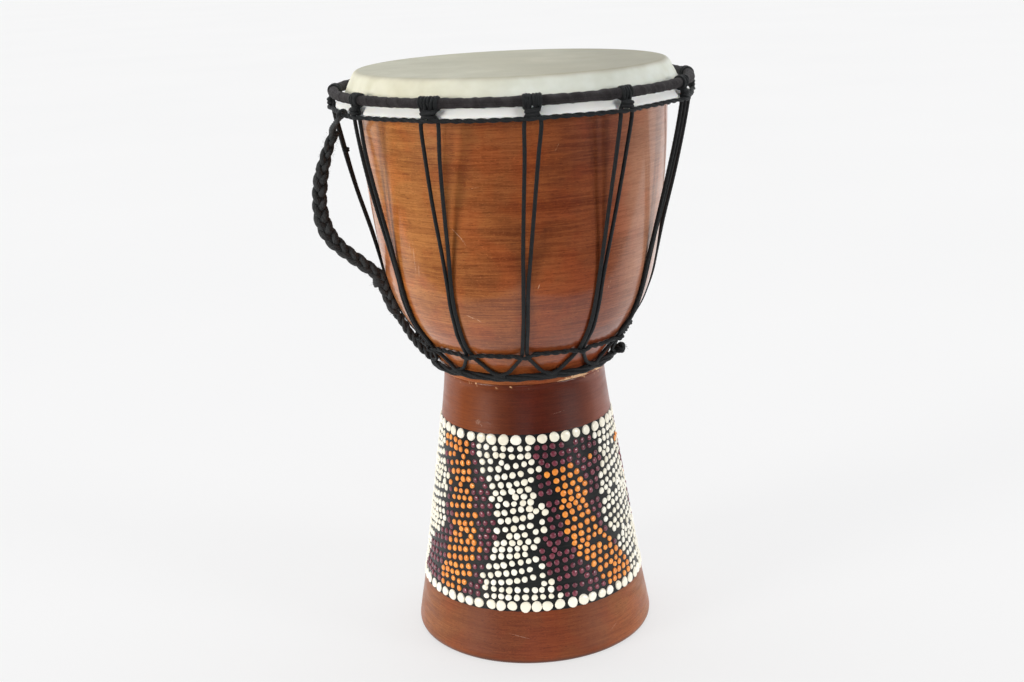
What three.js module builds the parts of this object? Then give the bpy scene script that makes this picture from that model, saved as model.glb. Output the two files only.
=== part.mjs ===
// A goblet hand drum (djembe) with a rope-tensioned goatskin head, in millimetres, +Z up.
// The origin is on the floor, on the drum's own axis. The player's side is -Y, and the rope
// handle hangs on the -X side. Azimuths are measured from -Y towards +X.
import * as THREE from "three";

// ---- driving dimensions -------------------------------------------------------------------
const RING_SEGMENTS = 40; // facets round every turned piece
const CORD_SIDES = 6; // facets round a thin cord
const GAP = 0.3; // clearance between pieces that touch

const HEIGHT = 400; // floor to playing skin
const SKIN = 0.8; // skin thickness
const SHELL_TOP = HEIGHT - SKIN - GAP; // bearing edge of the bowl
const SHELL_RIM_R = 103.9; // outer radius of the bowl under the skin
const NECK_Z = 193; // joint between the bowl and the foot
const SPIGOT_R = 46; // turned hole in the bowl that takes the foot's spigot
const SPIGOT_TOP_Z = 204;
const THROAT_R = 37; // bore through the spigot

const HOOP_R = 115; // steel flesh hoop folded into the edge of the skin
const HOOP_Z = 378;
const HOOP_WIRE_R = 1.6;

const CROWN_R = 118.3; // cloth-wrapped steel ring that presses the skin down
const CROWN_Z = 386.8;
const CROWN_CORE_R = 2.2; // radius of its steel rod
const CROWN_WRAP_R = 3.3; // radius over the cloth

const CORD_R = 1.3; // tension cord
const KEEPER_RING_R = 122.8; // thin cord that binds the strands under the crown ring
const KEEPER_Z = 376.6;
const KEEPER_CORD_R = 1.5;

// Each cow-hitched pair of tension strands: its azimuth at the crown ring, and where it meets
// the weave cord. They are tied by eye, about 30 degrees apart.
const PAIRS_DEG = [
  [5.5, 0.5],
  [35, 31.5],
  [65, 61.5],
  [94, 91],
  [124, 121],
  [154, 151],
  [184, 181],
  [214, 211],
  [243, 240.5],
  [271, 270.5],
  [303.5, 301.5],
  [335.2, 330],
];
const LEG_SPREAD_DEG = 10; // how far each strand splays below the weave cord

const WEAVE_CORD_R = 1.7; // two-ply cord round the lower bowl
const WEAVE_SURFACE_Z = 218.5; // height where it crosses the bowl's surface
const BOTTOM_RING_R = 63.5; // twisted bundle of cord round the bowl's lower lip
const BOTTOM_RING_Z = 199.4;
const BOTTOM_BUNDLE_R = 2.6;

const HANDLE_DEG = -82; // upright plane that the rope handle hangs in
const BRAID_R = 4.7;
const TAIL_R = 3.8;
const TAIL_CORDS_R = 2.5;

// ---- outlines as [radius, height] ------------------------------------------------------------
// Outside of the bowl, from the lower lip up to the bearing edge.
const BOWL_OUTSIDE = [
  [59.2, NECK_Z],
  [59.9, 194],
  [60.7, 200.5],
  [66, 210],
  [71.6, 218],
  [77.2, 225.5],
  [82.3, 233.5],
  [86.9, 243.5],
  [90.4, 254],
  [93.3, 266.5],
  [96.9, 289],
  [100.1, 316],
  [102.5, 345],
  [SHELL_RIM_R, 388],
  [SHELL_RIM_R, 395.5],
  [101.8, SHELL_TOP],
];
// Inside of the bowl, from the bearing edge down to the hole for the spigot.
const BOWL_INSIDE = [
  [98.2, 397.2],
  [95.6, 392],
  [92.8, 333],
  [87.6, 286],
  [79, 249],
  [65, 224],
  [50, 209],
  [SPIGOT_R, 206],
  [SPIGOT_R, NECK_Z],
];
const FOOT_OUTSIDE = [
  [83, 0],
  [84.4, 3],
  [83.4, 10.5],
  [80.2, 28],
  [74.9, 59],
  [68.5, 101],
  [63, 137],
  [59.4, 162],
  [57.1, 180],
  [56.4, 188],
  [56.6, NECK_Z - GAP],
  [SPIGOT_R - GAP, NECK_Z - GAP],
  [SPIGOT_R - GAP, SPIGOT_TOP_Z],
];
const FOOT_INSIDE = [
  [THROAT_R, SPIGOT_TOP_Z],
  [THROAT_R, 193],
  [46, 157],
  [57, 97],
  [66, 40],
  [71.5, 3],
  [73, 0],
];

// ---- small helpers ----------------------------------------------------------------------------
const radians = THREE.MathUtils.degToRad;

/** A point at a radius, azimuth and height, moved sideways along its tangent. */
function polar(radius, degrees, z, sideways = 0) {
  const a = radians(degrees);
  return new THREE.Vector3(
    radius * Math.sin(a) + sideways * Math.cos(a),
    -radius * Math.cos(a) + sideways * Math.sin(a),
    z,
  );
}

/** Points on a circle in the [radius, height] plane, from one angle to another in degrees. */
function arc(centreR, centreZ, radius, from, to, count) {
  return Array.from({ length: count }, (_, i) => {
    const a = radians(from + ((to - from) * i) / (count - 1));
    return [centreR + radius * Math.cos(a), centreZ + radius * Math.sin(a)];
  });
}

/** Turns an outline of [radius, height] pairs round the drum's axis. */
function turned(outline) {
  const points = outline.map(([r, z]) => new THREE.Vector2(r, z));
  return new THREE.LatheGeometry(points, RING_SEGMENTS).rotateX(Math.PI / 2);
}

const closed = (outline) => [...outline, outline[0]];

/** A round cord bent into a level ring. */
function cordRing(radius, z, cordRadius, sides) {
  return new THREE.TorusGeometry(radius, cordRadius, sides, RING_SEGMENTS).translate(0, 0, z);
}

/** A path that an extrusion follows through given stations, one step to each. */
class StationPath extends THREE.Curve {
  constructor(stations) {
    super();
    this.stations = stations;
  }

  getPoint(t) {
    const last = this.stations.length - 1;
    const i = Math.min(Math.floor(t * last + 1e-9), last - 1);
    return this.stations[i].clone().lerp(this.stations[i + 1], t * last - i);
  }

  getPointAt(t) {
    return this.getPoint(t);
  }

  getTangentAt(t) {
    const last = this.stations.length - 1;
    const i = Math.round(t * last);
    const before = this.stations[Math.max(i - 1, 0)];
    const after = this.stations[Math.min(i + 1, last)];
    return after.clone().sub(before).normalize();
  }
}

/** A cord with flat ends that runs through its stations. */
function cordAlong(stations, radius, sides = CORD_SIDES) {
  const corners = Array.from({ length: sides }, (_, i) => {
    const a = ((i + 0.5) * 2 * Math.PI) / sides;
    return new THREE.Vector2(radius * Math.cos(a), radius * Math.sin(a));
  });
  return new THREE.ExtrudeGeometry(new THREE.Shape(corners), {
    steps: stations.length - 1,
    extrudePath: new StationPath(stations),
    bevelEnabled: false,
  });
}

/** Where the bowl's outside lies at a height, and how steeply its radius grows there. */
function bowlSurface(z) {
  const i = BOWL_OUTSIDE.findIndex(([, height]) => height > z);
  const [r0, z0] = BOWL_OUTSIDE[i - 1];
  const [r1, z1] = BOWL_OUTSIDE[i];
  const slope = (r1 - r0) / (z1 - z0);
  return { radius: r0 + slope * (z - z0), slope };
}

/** Radius of a cord's centre that lies on the bowl at a height. */
function onBowl(z, cordRadius) {
  const { radius, slope } = bowlSurface(z);
  return radius + (cordRadius + GAP) * Math.hypot(1, slope);
}

// ---- the pieces -------------------------------------------------------------------------------
const wood = (color) =>
  new THREE.MeshStandardMaterial({ color, roughness: 0.45, metalness: 0 });
const skin = new THREE.MeshStandardMaterial({
  color: 0xd8d0b8,
  roughness: 0.7,
  metalness: 0,
});
const steel = new THREE.MeshStandardMaterial({
  color: 0x8a8a8a,
  roughness: 0.4,
  metalness: 1,
});
const cloth = new THREE.MeshStandardMaterial({
  color: 0x2e2629,
  roughness: 0.9,
  metalness: 0,
});
const cord = new THREE.MeshStandardMaterial({
  color: 0x17191a,
  roughness: 0.85,
  metalness: 0,
});

const drum = new THREE.Group();

function add(name, geometry, material) {
  const mesh = new THREE.Mesh(geometry, material);
  mesh.name = name;
  drum.add(mesh);
}

/**
 * Goatskin: a flat disc, a flared collar and a hem folded round the flesh hoop. The outline is
 * written from the outside in, and turned the other way round so that its faces point out.
 */
function drumHead() {
  const hemR = HOOP_WIRE_R + GAP;
  const collarOutside = [
    [0, HEIGHT],
    [103, HEIGHT],
    [105.3, 397.4],
    [108.8, 390.9],
    [110.6, 386.8],
    [111.6, 381],
  ];
  const hemOutside = arc(HOOP_R, HOOP_Z, hemR + SKIN, 150, -160, 7);
  const hemInside = arc(HOOP_R, HOOP_Z, hemR, -160, 140, 7);
  const collarInside = [
    [110.7, 381],
    [109.8, 386.6],
    [108, 390.5],
    [104.5, 397.1],
    [102.6, HEIGHT - SKIN],
    [0, HEIGHT - SKIN],
  ];
  const outline = [...collarOutside, ...hemOutside, ...hemInside, ...collarInside];
  return turned(outline.reverse());
}

/** Cloth wound on the crown ring, left open by a narrow seam on the ring's inner side. */
function crownWrap() {
  const inner = CROWN_CORE_R + GAP;
  return turned(
    closed([
      ...arc(CROWN_R, CROWN_Z, CROWN_WRAP_R, -170, 170, 9),
      ...arc(CROWN_R, CROWN_Z, inner, 170, -170, 9),
    ]),
  );
}

/**
 * One pair of tension strands. Each strand climbs from the bottom ring, hugs the bowl, runs
 * straight to the keeper cord, turns back over the crown ring and closes in the hitch's nose.
 */
function tensionCord([topDeg, footDeg]) {
  const wrapR = CROWN_WRAP_R + CORD_R + 0.55;
  const channelR = HOOP_R + HOOP_WIRE_R + SKIN + GAP + GAP + CORD_R;
  const liftOffZ = 268; // the strand leaves the bowl here and runs straight up
  const topZ = 374;

  // Azimuth of the pair's middle, which drifts a little between the top and the weave cord.
  const along = (z) =>
    THREE.MathUtils.mapLinear(z, WEAVE_SURFACE_Z, topZ, footDeg, topDeg);

  const half = (side) => {
    const stations = [
      polar(onBowl(203.7, CORD_R), footDeg + side * LEG_SPREAD_DEG, 203.7),
      polar(onBowl(208.2, CORD_R), footDeg + side * 6.7, 208.2),
      polar(onBowl(212.8, CORD_R), footDeg + side * 2.9, 212.8),
    ];
    for (const z of [218.5, 225, 232, 241, 253, liftOffZ])
      stations.push(polar(onBowl(z, CORD_R), along(z), z, side * 1.75));
    const liftR = onBowl(liftOffZ, CORD_R);
    for (const [share, apart] of [
      [0.5, 3.2],
      [1, 5.1],
    ]) {
      const z = THREE.MathUtils.lerp(liftOffZ, topZ, share);
      const r = THREE.MathUtils.lerp(liftR, channelR, share);
      stations.push(polar(r, along(z), z, side * apart));
    }
    stations.push(polar(channelR, topDeg, KEEPER_Z, side * 4.3));
    stations.push(polar(channelR, topDeg, 380.4, side * 1.9));
    const turns = [2.2, 3, 3.8, 4.4, 4.6, 4.5, 3.9]; // sideways place at each eighth of a turn
    arc(CROWN_R, CROWN_Z, wrapR, -90, -360, turns.length).forEach(([r, z], i) =>
      stations.push(polar(r, topDeg, z, side * turns[i])),
    );
    stations.push(polar(CROWN_R + 4.9, topDeg, CROWN_Z - 3, side * 2.4));
    return stations;
  };
  const nose = polar(CROWN_R + 5.1, topDeg, CROWN_Z - 4.7);
  return cordAlong([...half(-1), nose, ...half(1).reverse()], CORD_R);
}

/** The cord round the lower bowl, which rides out over each pair of strands. */
function weaveCord() {
  const { radius, slope } = bowlSurface(WEAVE_SURFACE_Z);
  const tilt = Math.atan(slope);
  const [outR, outZ] = [Math.cos(tilt), -Math.sin(tilt)]; // the surface's normal
  const rest = WEAVE_CORD_R + GAP;
  const overStrand = 2 * CORD_R + GAP + 0.25;
  const widthDeg = 6.5;
  const ring = new THREE.TorusGeometry(
    radius + outR * rest,
    WEAVE_CORD_R,
    CORD_SIDES,
    2 * RING_SEGMENTS,
  );
  ring.translate(0, 0, WEAVE_SURFACE_Z + outZ * rest);
  const p = ring.attributes.position;
  for (let i = 0; i < p.count; i++) {
    const azimuth = THREE.MathUtils.radToDeg(Math.atan2(p.getX(i), -p.getY(i)));
    const away = Math.min(
      ...PAIRS_DEG.map(([, foot]) => {
        const turn = THREE.MathUtils.euclideanModulo(azimuth - foot, 360);
        return Math.min(turn, 360 - turn);
      }),
    );
    if (away >= widthDeg) continue;
    const lift = overStrand * Math.cos((Math.PI / 2) * (away / widthDeg) ** 2);
    const at = polar(outR * lift, azimuth, outZ * lift);
    p.setXYZ(i, p.getX(i) + at.x, p.getY(i) + at.y, p.getZ(i) + at.z);
  }
  return ring;
}

/** A lump of knotted cord: half sizes along the radius, the tangent and the height. */
function knot(radius, degrees, z, [halfR, halfSide, halfZ]) {
  const at = polar(radius, degrees, z);
  return new THREE.SphereGeometry(1, 10, 8)
    .scale(halfR, halfSide, halfZ)
    .rotateZ(radians(degrees - 90))
    .translate(at.x, at.y, at.z);
}

const inHandlePlane = ([r, z]) => polar(r, HANDLE_DEG, z);

/** The free part of the braided handle, from its head under the keeper cord to the side. */
function handleBraid() {
  const route = new THREE.CatmullRomCurve3(
    [
      [120.2, 360.2],
      [124.5, 351.3],
      [127.6, 342.8],
      [130.7, 333],
      [132.7, 322.5],
      [133.4, 311.5],
      [132.2, 301.2],
      [128.6, 291.6],
      [122.2, 283.3],
      [114, 275.9],
      [105.9, 269],
      [99.7, 263.8],
    ].map(inHandlePlane),
  );
  return cordAlong(route.getSpacedPoints(22), BRAID_R, 10);
}

/** The cord loop that hangs the braid's head from the keeper cord. */
function handleTopLoop() {
  const stations = [
    [119.7, -80.2, 364.6],
    [119.5, -75.5, 368.4],
    [119.3, -70, 372.3],
    [119.3, -65.6, 375.2],
    [119.3, -63, 377.6],
    [120.2, -62, 379.6],
    [122.8, -61.4, 380.3],
    [125.4, -61, 378.9],
    [126.3, -61.2, 376.4],
    [126, -63, 373.6],
    [125.2, -67.5, 370.2],
    [124.4, -73.5, 367],
    [123.8, -79, 364.6],
  ];
  return cordAlong(
    stations.map(([r, degrees, z]) => polar(r, degrees, z)),
    CORD_R,
  );
}

/** The braid's tail, which lies down the side of the bowl. */
function handleTail() {
  const heights = [252, 247.5, 242.5, 237.5];
  return cordAlong(
    heights.map((z) => inHandlePlane([onBowl(z, TAIL_R) + 0.2, z])),
    TAIL_R,
    8,
  );
}

/** The tail's loose cords, which twist on down over the weave cord to the bottom ring. */
function handleTailCords() {
  const route = [
    [87.6, 233.2],
    [85.6, 228.6],
    [82.2, 221.8],
    [78.4, 215.6],
    [74.2, 209],
    [70.8, 205.2],
    [68.3, 203.3],
  ];
  return cordAlong(route.map(inHandlePlane), TAIL_CORDS_R);
}

add("bowl", turned(closed([...BOWL_OUTSIDE, ...BOWL_INSIDE])), wood(0x9a5a30));
add("foot", turned(closed([...FOOT_OUTSIDE, ...FOOT_INSIDE])), wood(0x7a3f24));
add("drum_head", drumHead(), skin);
add("flesh_hoop", cordRing(HOOP_R, HOOP_Z, HOOP_WIRE_R, 6), steel);
add("crown_ring_core", cordRing(CROWN_R, CROWN_Z, CROWN_CORE_R, 6), steel);
add("crown_ring_wrap", crownWrap(), cloth);
add("keeper_cord", cordRing(KEEPER_RING_R, KEEPER_Z, KEEPER_CORD_R, CORD_SIDES), cord);
PAIRS_DEG.forEach((pair, i) =>
  add(`tension_cord_${String(i + 1).padStart(2, "0")}`, tensionCord(pair), cord),
);
add("weave_cord", weaveCord(), cord);
add("bottom_ring_cord", cordRing(BOTTOM_RING_R, BOTTOM_RING_Z, BOTTOM_BUNDLE_R, 8), cord);
add("bottom_end_knot", knot(68.8, 77, 203, [3.4, 5.6, 4]), cord);
add("handle_top_loop", handleTopLoop(), cord);
add("handle_braid", handleBraid(), cord);
add("handle_lower_tie", knot(97.6, -83.4, 256.6, [3.6, 5.6, 2.9]), cord);
add("handle_tail", handleTail(), cord);
add("handle_tail_cords", handleTailCords(), cord);

export default drum;
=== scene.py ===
import math
import random

import bpy
import numpy as np
from mathutils import Matrix, Vector


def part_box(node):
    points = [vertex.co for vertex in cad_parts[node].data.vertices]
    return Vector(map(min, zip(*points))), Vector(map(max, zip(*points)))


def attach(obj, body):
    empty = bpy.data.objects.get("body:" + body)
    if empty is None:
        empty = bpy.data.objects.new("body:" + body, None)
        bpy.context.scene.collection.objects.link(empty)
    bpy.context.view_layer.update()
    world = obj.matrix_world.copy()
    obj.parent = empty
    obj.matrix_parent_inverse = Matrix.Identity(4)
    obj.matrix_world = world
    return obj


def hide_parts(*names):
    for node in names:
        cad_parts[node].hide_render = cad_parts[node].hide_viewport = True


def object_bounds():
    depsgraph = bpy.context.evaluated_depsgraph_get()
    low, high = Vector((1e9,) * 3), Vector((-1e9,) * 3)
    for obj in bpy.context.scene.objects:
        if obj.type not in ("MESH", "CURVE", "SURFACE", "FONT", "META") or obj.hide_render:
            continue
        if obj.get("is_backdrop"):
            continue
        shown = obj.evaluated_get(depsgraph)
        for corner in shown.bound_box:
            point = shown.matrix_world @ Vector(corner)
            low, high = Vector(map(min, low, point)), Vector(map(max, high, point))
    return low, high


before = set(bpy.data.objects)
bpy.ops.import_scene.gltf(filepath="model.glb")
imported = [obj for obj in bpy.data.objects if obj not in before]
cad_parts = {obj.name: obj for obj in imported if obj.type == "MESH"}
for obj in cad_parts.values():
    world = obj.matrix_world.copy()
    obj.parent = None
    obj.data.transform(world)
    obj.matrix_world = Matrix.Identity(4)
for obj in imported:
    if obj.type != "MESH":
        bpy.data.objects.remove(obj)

MM = 0.001
KNOT_STEP, CORD_STEP = 0.0005, 0.0006  # metres between the points along knots and along cords
TAU = 2 * math.pi
CAD_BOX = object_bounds()

# ---- driving dimensions, in millimetres -------------------------------------------------------
CORD_R = 1.3  # tension cord
KEEPER_CORD_R = 1.5
WEAVE_CORD_R = 1.7
BUNDLE_R = 2.6  # bundle of cord in the bottom ring
CROWN_WRAP_R = 3.3  # crown ring over its cloth
HOOP_WIRE_R = 1.6
SKIN = 0.8
GAP = 0.3

# Each cow-hitched pair of strands: azimuth at the crown ring, and at the weave cord.
PAIRS_DEG = [
    (5.5, 0.5), (35, 31.5), (65, 61.5), (94, 91), (124, 121), (154, 151), (184, 181), (214, 211),
    (243, 240.5), (271, 270.5), (305.5, 301.5), (335.2, 330),
]
# Half the distance between the two strands of each pair where they reach the keeper cord.
PAIR_SPREAD = [4.8, 4.5, 3.0, 3.5, 4.2, 3.6, 4.4, 3.9, 3.4, 3.2, 3.2, 5.9]
WEAVE_SURFACE_Z = 218.5
STRAND_TOP_Z = 374  # where the strands reach the keeper cord
HANDLE_DEG = -82
HANDLE_LOOP_DEG = -61.5  # where the handle's loop passes round the keeper cord


# ---- camera and light -------------------------------------------------------------------------
def make_camera():
    """The camera a little above the head, about a metre away, looking down at the drum."""
    place = Vector((0, -0.9659, 0.4806))
    yaw, pitch, roll = math.radians(-0.463), math.radians(-15.815), math.radians(-2.69)
    forward = Vector(
        (math.sin(yaw) * math.cos(pitch), math.cos(yaw) * math.cos(pitch), math.sin(pitch))
    )
    level_right = Vector((math.cos(yaw), -math.sin(yaw), 0))
    level_up = level_right.cross(forward)
    right = math.cos(roll) * level_right + math.sin(roll) * level_up
    up = math.cos(roll) * level_up - math.sin(roll) * level_right
    turn = Matrix((right, up, -forward)).transposed()
    data = bpy.data.cameras.new("camera")
    data.lens = 50.24
    data.sensor_width = 36
    camera = bpy.data.objects.new("camera", data)
    camera.matrix_world = Matrix.Translation(place) @ turn.to_4x4()
    bpy.context.scene.collection.objects.link(camera)
    bpy.context.scene.camera = camera


make_camera()


# ---- geometry helpers -------------------------------------------------------------------------
def polar(radius, degrees, z, sideways=0.0):
    """A point in metres from a radius, azimuth and height, moved sideways along its tangent."""
    a = np.radians(degrees)
    x = radius * np.sin(a) + sideways * np.cos(a)
    y = -radius * np.cos(a) + sideways * np.sin(a)
    return np.stack(np.broadcast_arrays(x, y, z), -1) * MM


def unit(vectors):
    """Vectors scaled to length one."""
    return vectors / np.linalg.norm(vectors, axis=-1, keepdims=True)


def travelled(path):
    """Length along a path up to each of its points."""
    return np.concatenate([[0], np.cumsum(np.linalg.norm(np.diff(path, axis=0), axis=1))])


def ring_place(node, cord_radius):
    """Centre radius and height in millimetres of a level CAD ring made of cord of that radius."""
    low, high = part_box(node)
    return high.x / MM - cord_radius, (low.z + high.z) / 2 / MM


def outline_of(node):
    """The (radius, height) outline of a turned CAD node, walked round its cut at y = 0."""
    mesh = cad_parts[node].data
    cut = {
        v.index: (round(v.co.x / MM, 3), round(v.co.z / MM, 3))
        for v in mesh.vertices
        if abs(v.co.y) < 1e-6 and v.co.x > -1e-6
    }
    links = {}
    for edge in mesh.edges:
        a, b = (cut.get(i) for i in edge.vertices)
        if a and b and a != b:
            links.setdefault(a, set()).add(b)
            links.setdefault(b, set()).add(a)
    ends = [p for p in links if len(links[p]) == 1]
    walk = [max(ends, key=lambda p: p[1]) if ends else min(links, key=lambda p: (p[1], -p[0]))]
    while True:
        onward = [p for p in links[walk[-1]] if p not in walk[-2:] and p != walk[0]]
        if not onward:
            return np.array(walk)
        walk.append(max(onward, key=lambda p: p[0]) if len(walk) == 1 else onward[0])


def catmull_rom(points, step, closed=False):
    """Centripetal Catmull-Rom curve through points, resampled at about even steps."""
    p = np.asarray(points, float)
    spans = len(p) if closed else len(p) - 1
    if closed:
        p = np.vstack([p[-1], p, p[0], p[1]])
    else:
        p = np.vstack([2 * p[0] - p[1], p, 2 * p[-1] - p[-2]])
    dense = []
    for i in range(spans):
        layer = p[i : i + 4]
        apart = [np.linalg.norm(b - a) for a, b in zip(layer, layer[1:])]
        knots = np.concatenate([[0], np.cumsum(np.maximum(apart, 1e-12) ** 0.5)])
        pieces = max(4, int(apart[1] / step * 3))
        t = np.linspace(knots[1], knots[2], pieces, endpoint=False)[:, None]
        for ends in (((0, 1), (1, 2), (2, 3)), ((0, 2), (1, 3)), ((1, 2),)):
            blended = []
            for k, (a, b) in enumerate(ends):
                span = knots[b] - knots[a]
                blended.append(
                    (knots[b] - t) / span * layer[k] + (t - knots[a]) / span * layer[k + 1]
                )
            layer = blended
        dense.append(layer[0])
    line = np.vstack([*dense, p[spans + 1][None]])
    along = travelled(line)
    samples = max(2, int(round(along[-1] / step)) + (0 if closed else 1))
    at = np.linspace(0, along[-1], samples, endpoint=not closed)
    return np.stack([np.interp(at, along, line[:, k]) for k in range(line.shape[1])], -1)


def eased(outline, bevel=0.6, sharp_deg=40):
    """A closed outline whose sharp corners are split in two, so that its curve stays crisp."""
    made = []
    for i, p in enumerate(outline):
        before, after = outline[i - 1], outline[(i + 1) % len(outline)]
        u, v = p - before, after - p
        lu, lv = np.linalg.norm(u), np.linalg.norm(v)
        turn = math.degrees(math.acos(np.clip(u @ v / (lu * lv), -1, 1)))
        if turn < sharp_deg:
            made.append(p)
            continue
        cut = min(bevel, lu / 4, lv / 4)
        made += [p - u / lu * cut, p + v / lv * cut]
    return np.array(made)


def mesh_piece(name, vertices, faces, attributes=None):
    """A smooth-shaded object from metres and faces, with numbers stored at its points."""
    mesh = bpy.data.meshes.new(name)
    mesh.from_pydata(np.asarray(vertices).tolist(), [], faces)
    mesh.update()
    mesh.polygons.foreach_set("use_smooth", np.ones(len(mesh.polygons), bool))
    for key, values in (attributes or {}).items():
        attribute = mesh.attributes.new(key, "FLOAT", "POINT")
        attribute.data.foreach_set("value", np.asarray(values, np.float32))
    made = bpy.data.objects.new(name, mesh)
    bpy.context.scene.collection.objects.link(made)
    return made


def grid_faces(rows, columns, wrap_rows=False, start=0):
    """Quads over a grid of points whose columns wrap round; rows wrap too where asked."""
    i = np.arange(rows if wrap_rows else rows - 1)[:, None]
    j = np.arange(columns)[None]
    i2, j2 = (i + 1) % rows, (j + 1) % columns
    quads = np.stack([i * columns + j, i * columns + j2, i2 * columns + j2, i2 * columns + j], -1)
    return (quads.reshape(-1, 4) + start).tolist()


class Soup:
    """Gathers several closed shells into one mesh."""

    def __init__(self):
        self.vertices, self.faces, self.numbers, self.count = [], [], {}, 0

    def add(self, vertices, faces, **numbers):
        self.vertices.append(vertices)
        self.faces += [[i + self.count for i in face] for face in faces]
        for key, values in numbers.items():
            self.numbers.setdefault(key, []).append(np.broadcast_to(values, len(vertices)))
        self.count += len(vertices)

    def piece(self, name):
        numbers = {key: np.concatenate(values) for key, values in self.numbers.items()}
        return mesh_piece(name, np.vstack(self.vertices), self.faces, numbers)


def carried_frames(path, closed=False):
    """Two unit vectors across a path at each point, carried along it without twisting."""
    ahead, behind = np.roll(path, -1, 0), np.roll(path, 1, 0)
    if not closed:
        ahead[-1], behind[0] = path[-1], path[0]
    tangent = unit(ahead - behind)
    side = np.zeros_like(path)
    start = np.cross(tangent[0], (0, 0, 1.0))
    if np.linalg.norm(start) < 1e-3:
        start = np.cross(tangent[0], (1.0, 0, 0))
    side[0] = start / np.linalg.norm(start)
    for i in range(1, len(path)):
        s = side[i - 1] - tangent[i] * (side[i - 1] @ tangent[i])
        side[i] = s / np.linalg.norm(s)
    if closed:  # spread the twist that is left over the whole ring
        last = side[-1] - tangent[0] * (side[-1] @ tangent[0])
        angle = math.atan2(np.cross(last, side[0]) @ tangent[0], last @ side[0])
        turn = angle * np.arange(len(path)) / len(path)
        up = np.cross(tangent, side)
        side = side * np.cos(turn)[:, None] + up * np.sin(turn)[:, None]
    return side, np.cross(tangent, side)


def add_tube(soup, path, radius, sides=10, closed=False, relief=None, taper=0, tone=0.5):
    """
    A round cord along a path in metres. relief(along, around) scales the radius; taper is the
    length in metres over which an open end rounds off.
    """
    side, up = carried_frames(path, closed)
    along = travelled(path)
    around = np.arange(sides) / sides
    r = np.full((len(path), sides), float(radius))
    if relief is not None:
        r = r * relief(along[:, None], around[None])
    if taper:
        near = np.minimum(along, along[-1] - along) / taper
        r = r * np.sqrt(np.clip(1 - (1 - np.clip(near, 0, 1)) ** 2, 0.04, 1))[:, None]
    c, s = np.cos(TAU * around), np.sin(TAU * around)
    points = path[:, None] + r[..., None] * (
        side[:, None] * c[None, :, None] + up[:, None] * s[None, :, None]
    )
    faces = grid_faces(len(path), sides, wrap_rows=closed)
    if not closed:
        faces.append(list(range(sides))[::-1])
        faces.append([(len(path) - 1) * sides + j for j in range(sides)])
    soup.add(
        points.reshape(-1, 3),
        faces,
        along=np.repeat(along, sides),
        around=np.tile(around, len(path)),
        tone=tone,
    )


def lay_of(plies, pitch, depth=0.13):
    """Relief of a cord laid from several plies that turn once in pitch metres."""

    def relief(along, around):
        wave = np.abs(np.cos(plies * math.pi * (around - along / pitch)))
        return 1 - depth + depth * np.sqrt(wave)

    return relief


CORD_LAY = lay_of(3, 0.0078)


def jitter(rng, spread):
    """A small random step in metres, from its usual size in millimetres."""
    return np.array([rng.gauss(0, spread) for _ in range(3)]) * MM


def add_rope(soup, path, strands, strand_r, helix_r, pitch, rng, closed=False, sides=9, taper=0):
    """Several cords twisted round each other along a path; radii and pitch in metres."""
    side, up = carried_frames(path, closed)
    along = travelled(path)
    whole = np.linalg.norm(np.roll(path, -1, 0) - path, axis=1).sum()
    if closed:
        pitch = whole / round(whole / pitch)
    for k in range(strands):
        swing, start = along / (0.011 + 0.004 * rng.random()), rng.random()
        if closed:
            swing, start = along / whole * TAU * rng.randint(18, 34), rng.random()
        away = helix_r * (1 + 0.12 * np.sin(swing + start * TAU))[:, None]
        angle = TAU * (along / pitch + k / strands)
        centre = path + away * (side * np.cos(angle)[:, None] + up * np.sin(angle)[:, None])
        add_tube(soup, centre, strand_r, sides, closed, lay_of(3, 0.0065), taper, rng.random())


def add_fibres(soup, roots, aims, length, rng, thick):
    """Loose fibres: thin tapered hairs from each root, roughly along its aim, drooping a little."""
    for root, aim in zip(roots, aims):
        lean = np.array([rng.gauss(0, 1) for _ in range(3)])
        along = aim + 0.55 * lean / np.linalg.norm(lean)
        along /= np.linalg.norm(along)
        reach = length * rng.uniform(0.45, 1.2)
        curl = np.array([rng.gauss(0, 0.3), rng.gauss(0, 0.3), rng.gauss(-0.15, 0.2)]) * reach
        t = np.linspace(0, 1, 5)[:, None]
        line = root + along * reach * t + curl * t**2
        side, up = carried_frames(line)
        widths = thick * np.array([1.0, 0.9, 0.75, 0.5, 0.15])
        turns = (0, TAU / 3, 2 * TAU / 3)
        corners = [line + widths[:, None] * (side * math.cos(a) + up * math.sin(a)) for a in turns]
        points = np.stack(corners, 1).reshape(-1, 3)
        faces = grid_faces(5, 3) + [[2, 1, 0], [12, 13, 14]]
        soup.add(points, faces, along=np.repeat(t[:, 0] * reach, 3), around=0.0, tone=0.7)


def add_brush(soup, root, spread, count, aim, length, rng, thick):
    """A frayed end: fibres that spring from about one place."""
    roots = [root + jitter(rng, spread) for _ in range(count)]
    add_fibres(soup, roots, [aim] * count, length, rng, thick)


def fuzz_along(soup, path, radius, count, length, rng, thick=0.00005):
    """Short fibres standing out all along a cord."""
    side, up = carried_frames(path)
    roots, aims = [], []
    for _ in range(count):
        i = rng.randrange(len(path))
        a = rng.random() * TAU
        out = side[i] * math.cos(a) + up[i] * math.sin(a)
        roots.append(path[i] + out * radius * 0.92)
        aims.append(out)
    add_fibres(soup, roots, aims, length, rng, thick)


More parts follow.
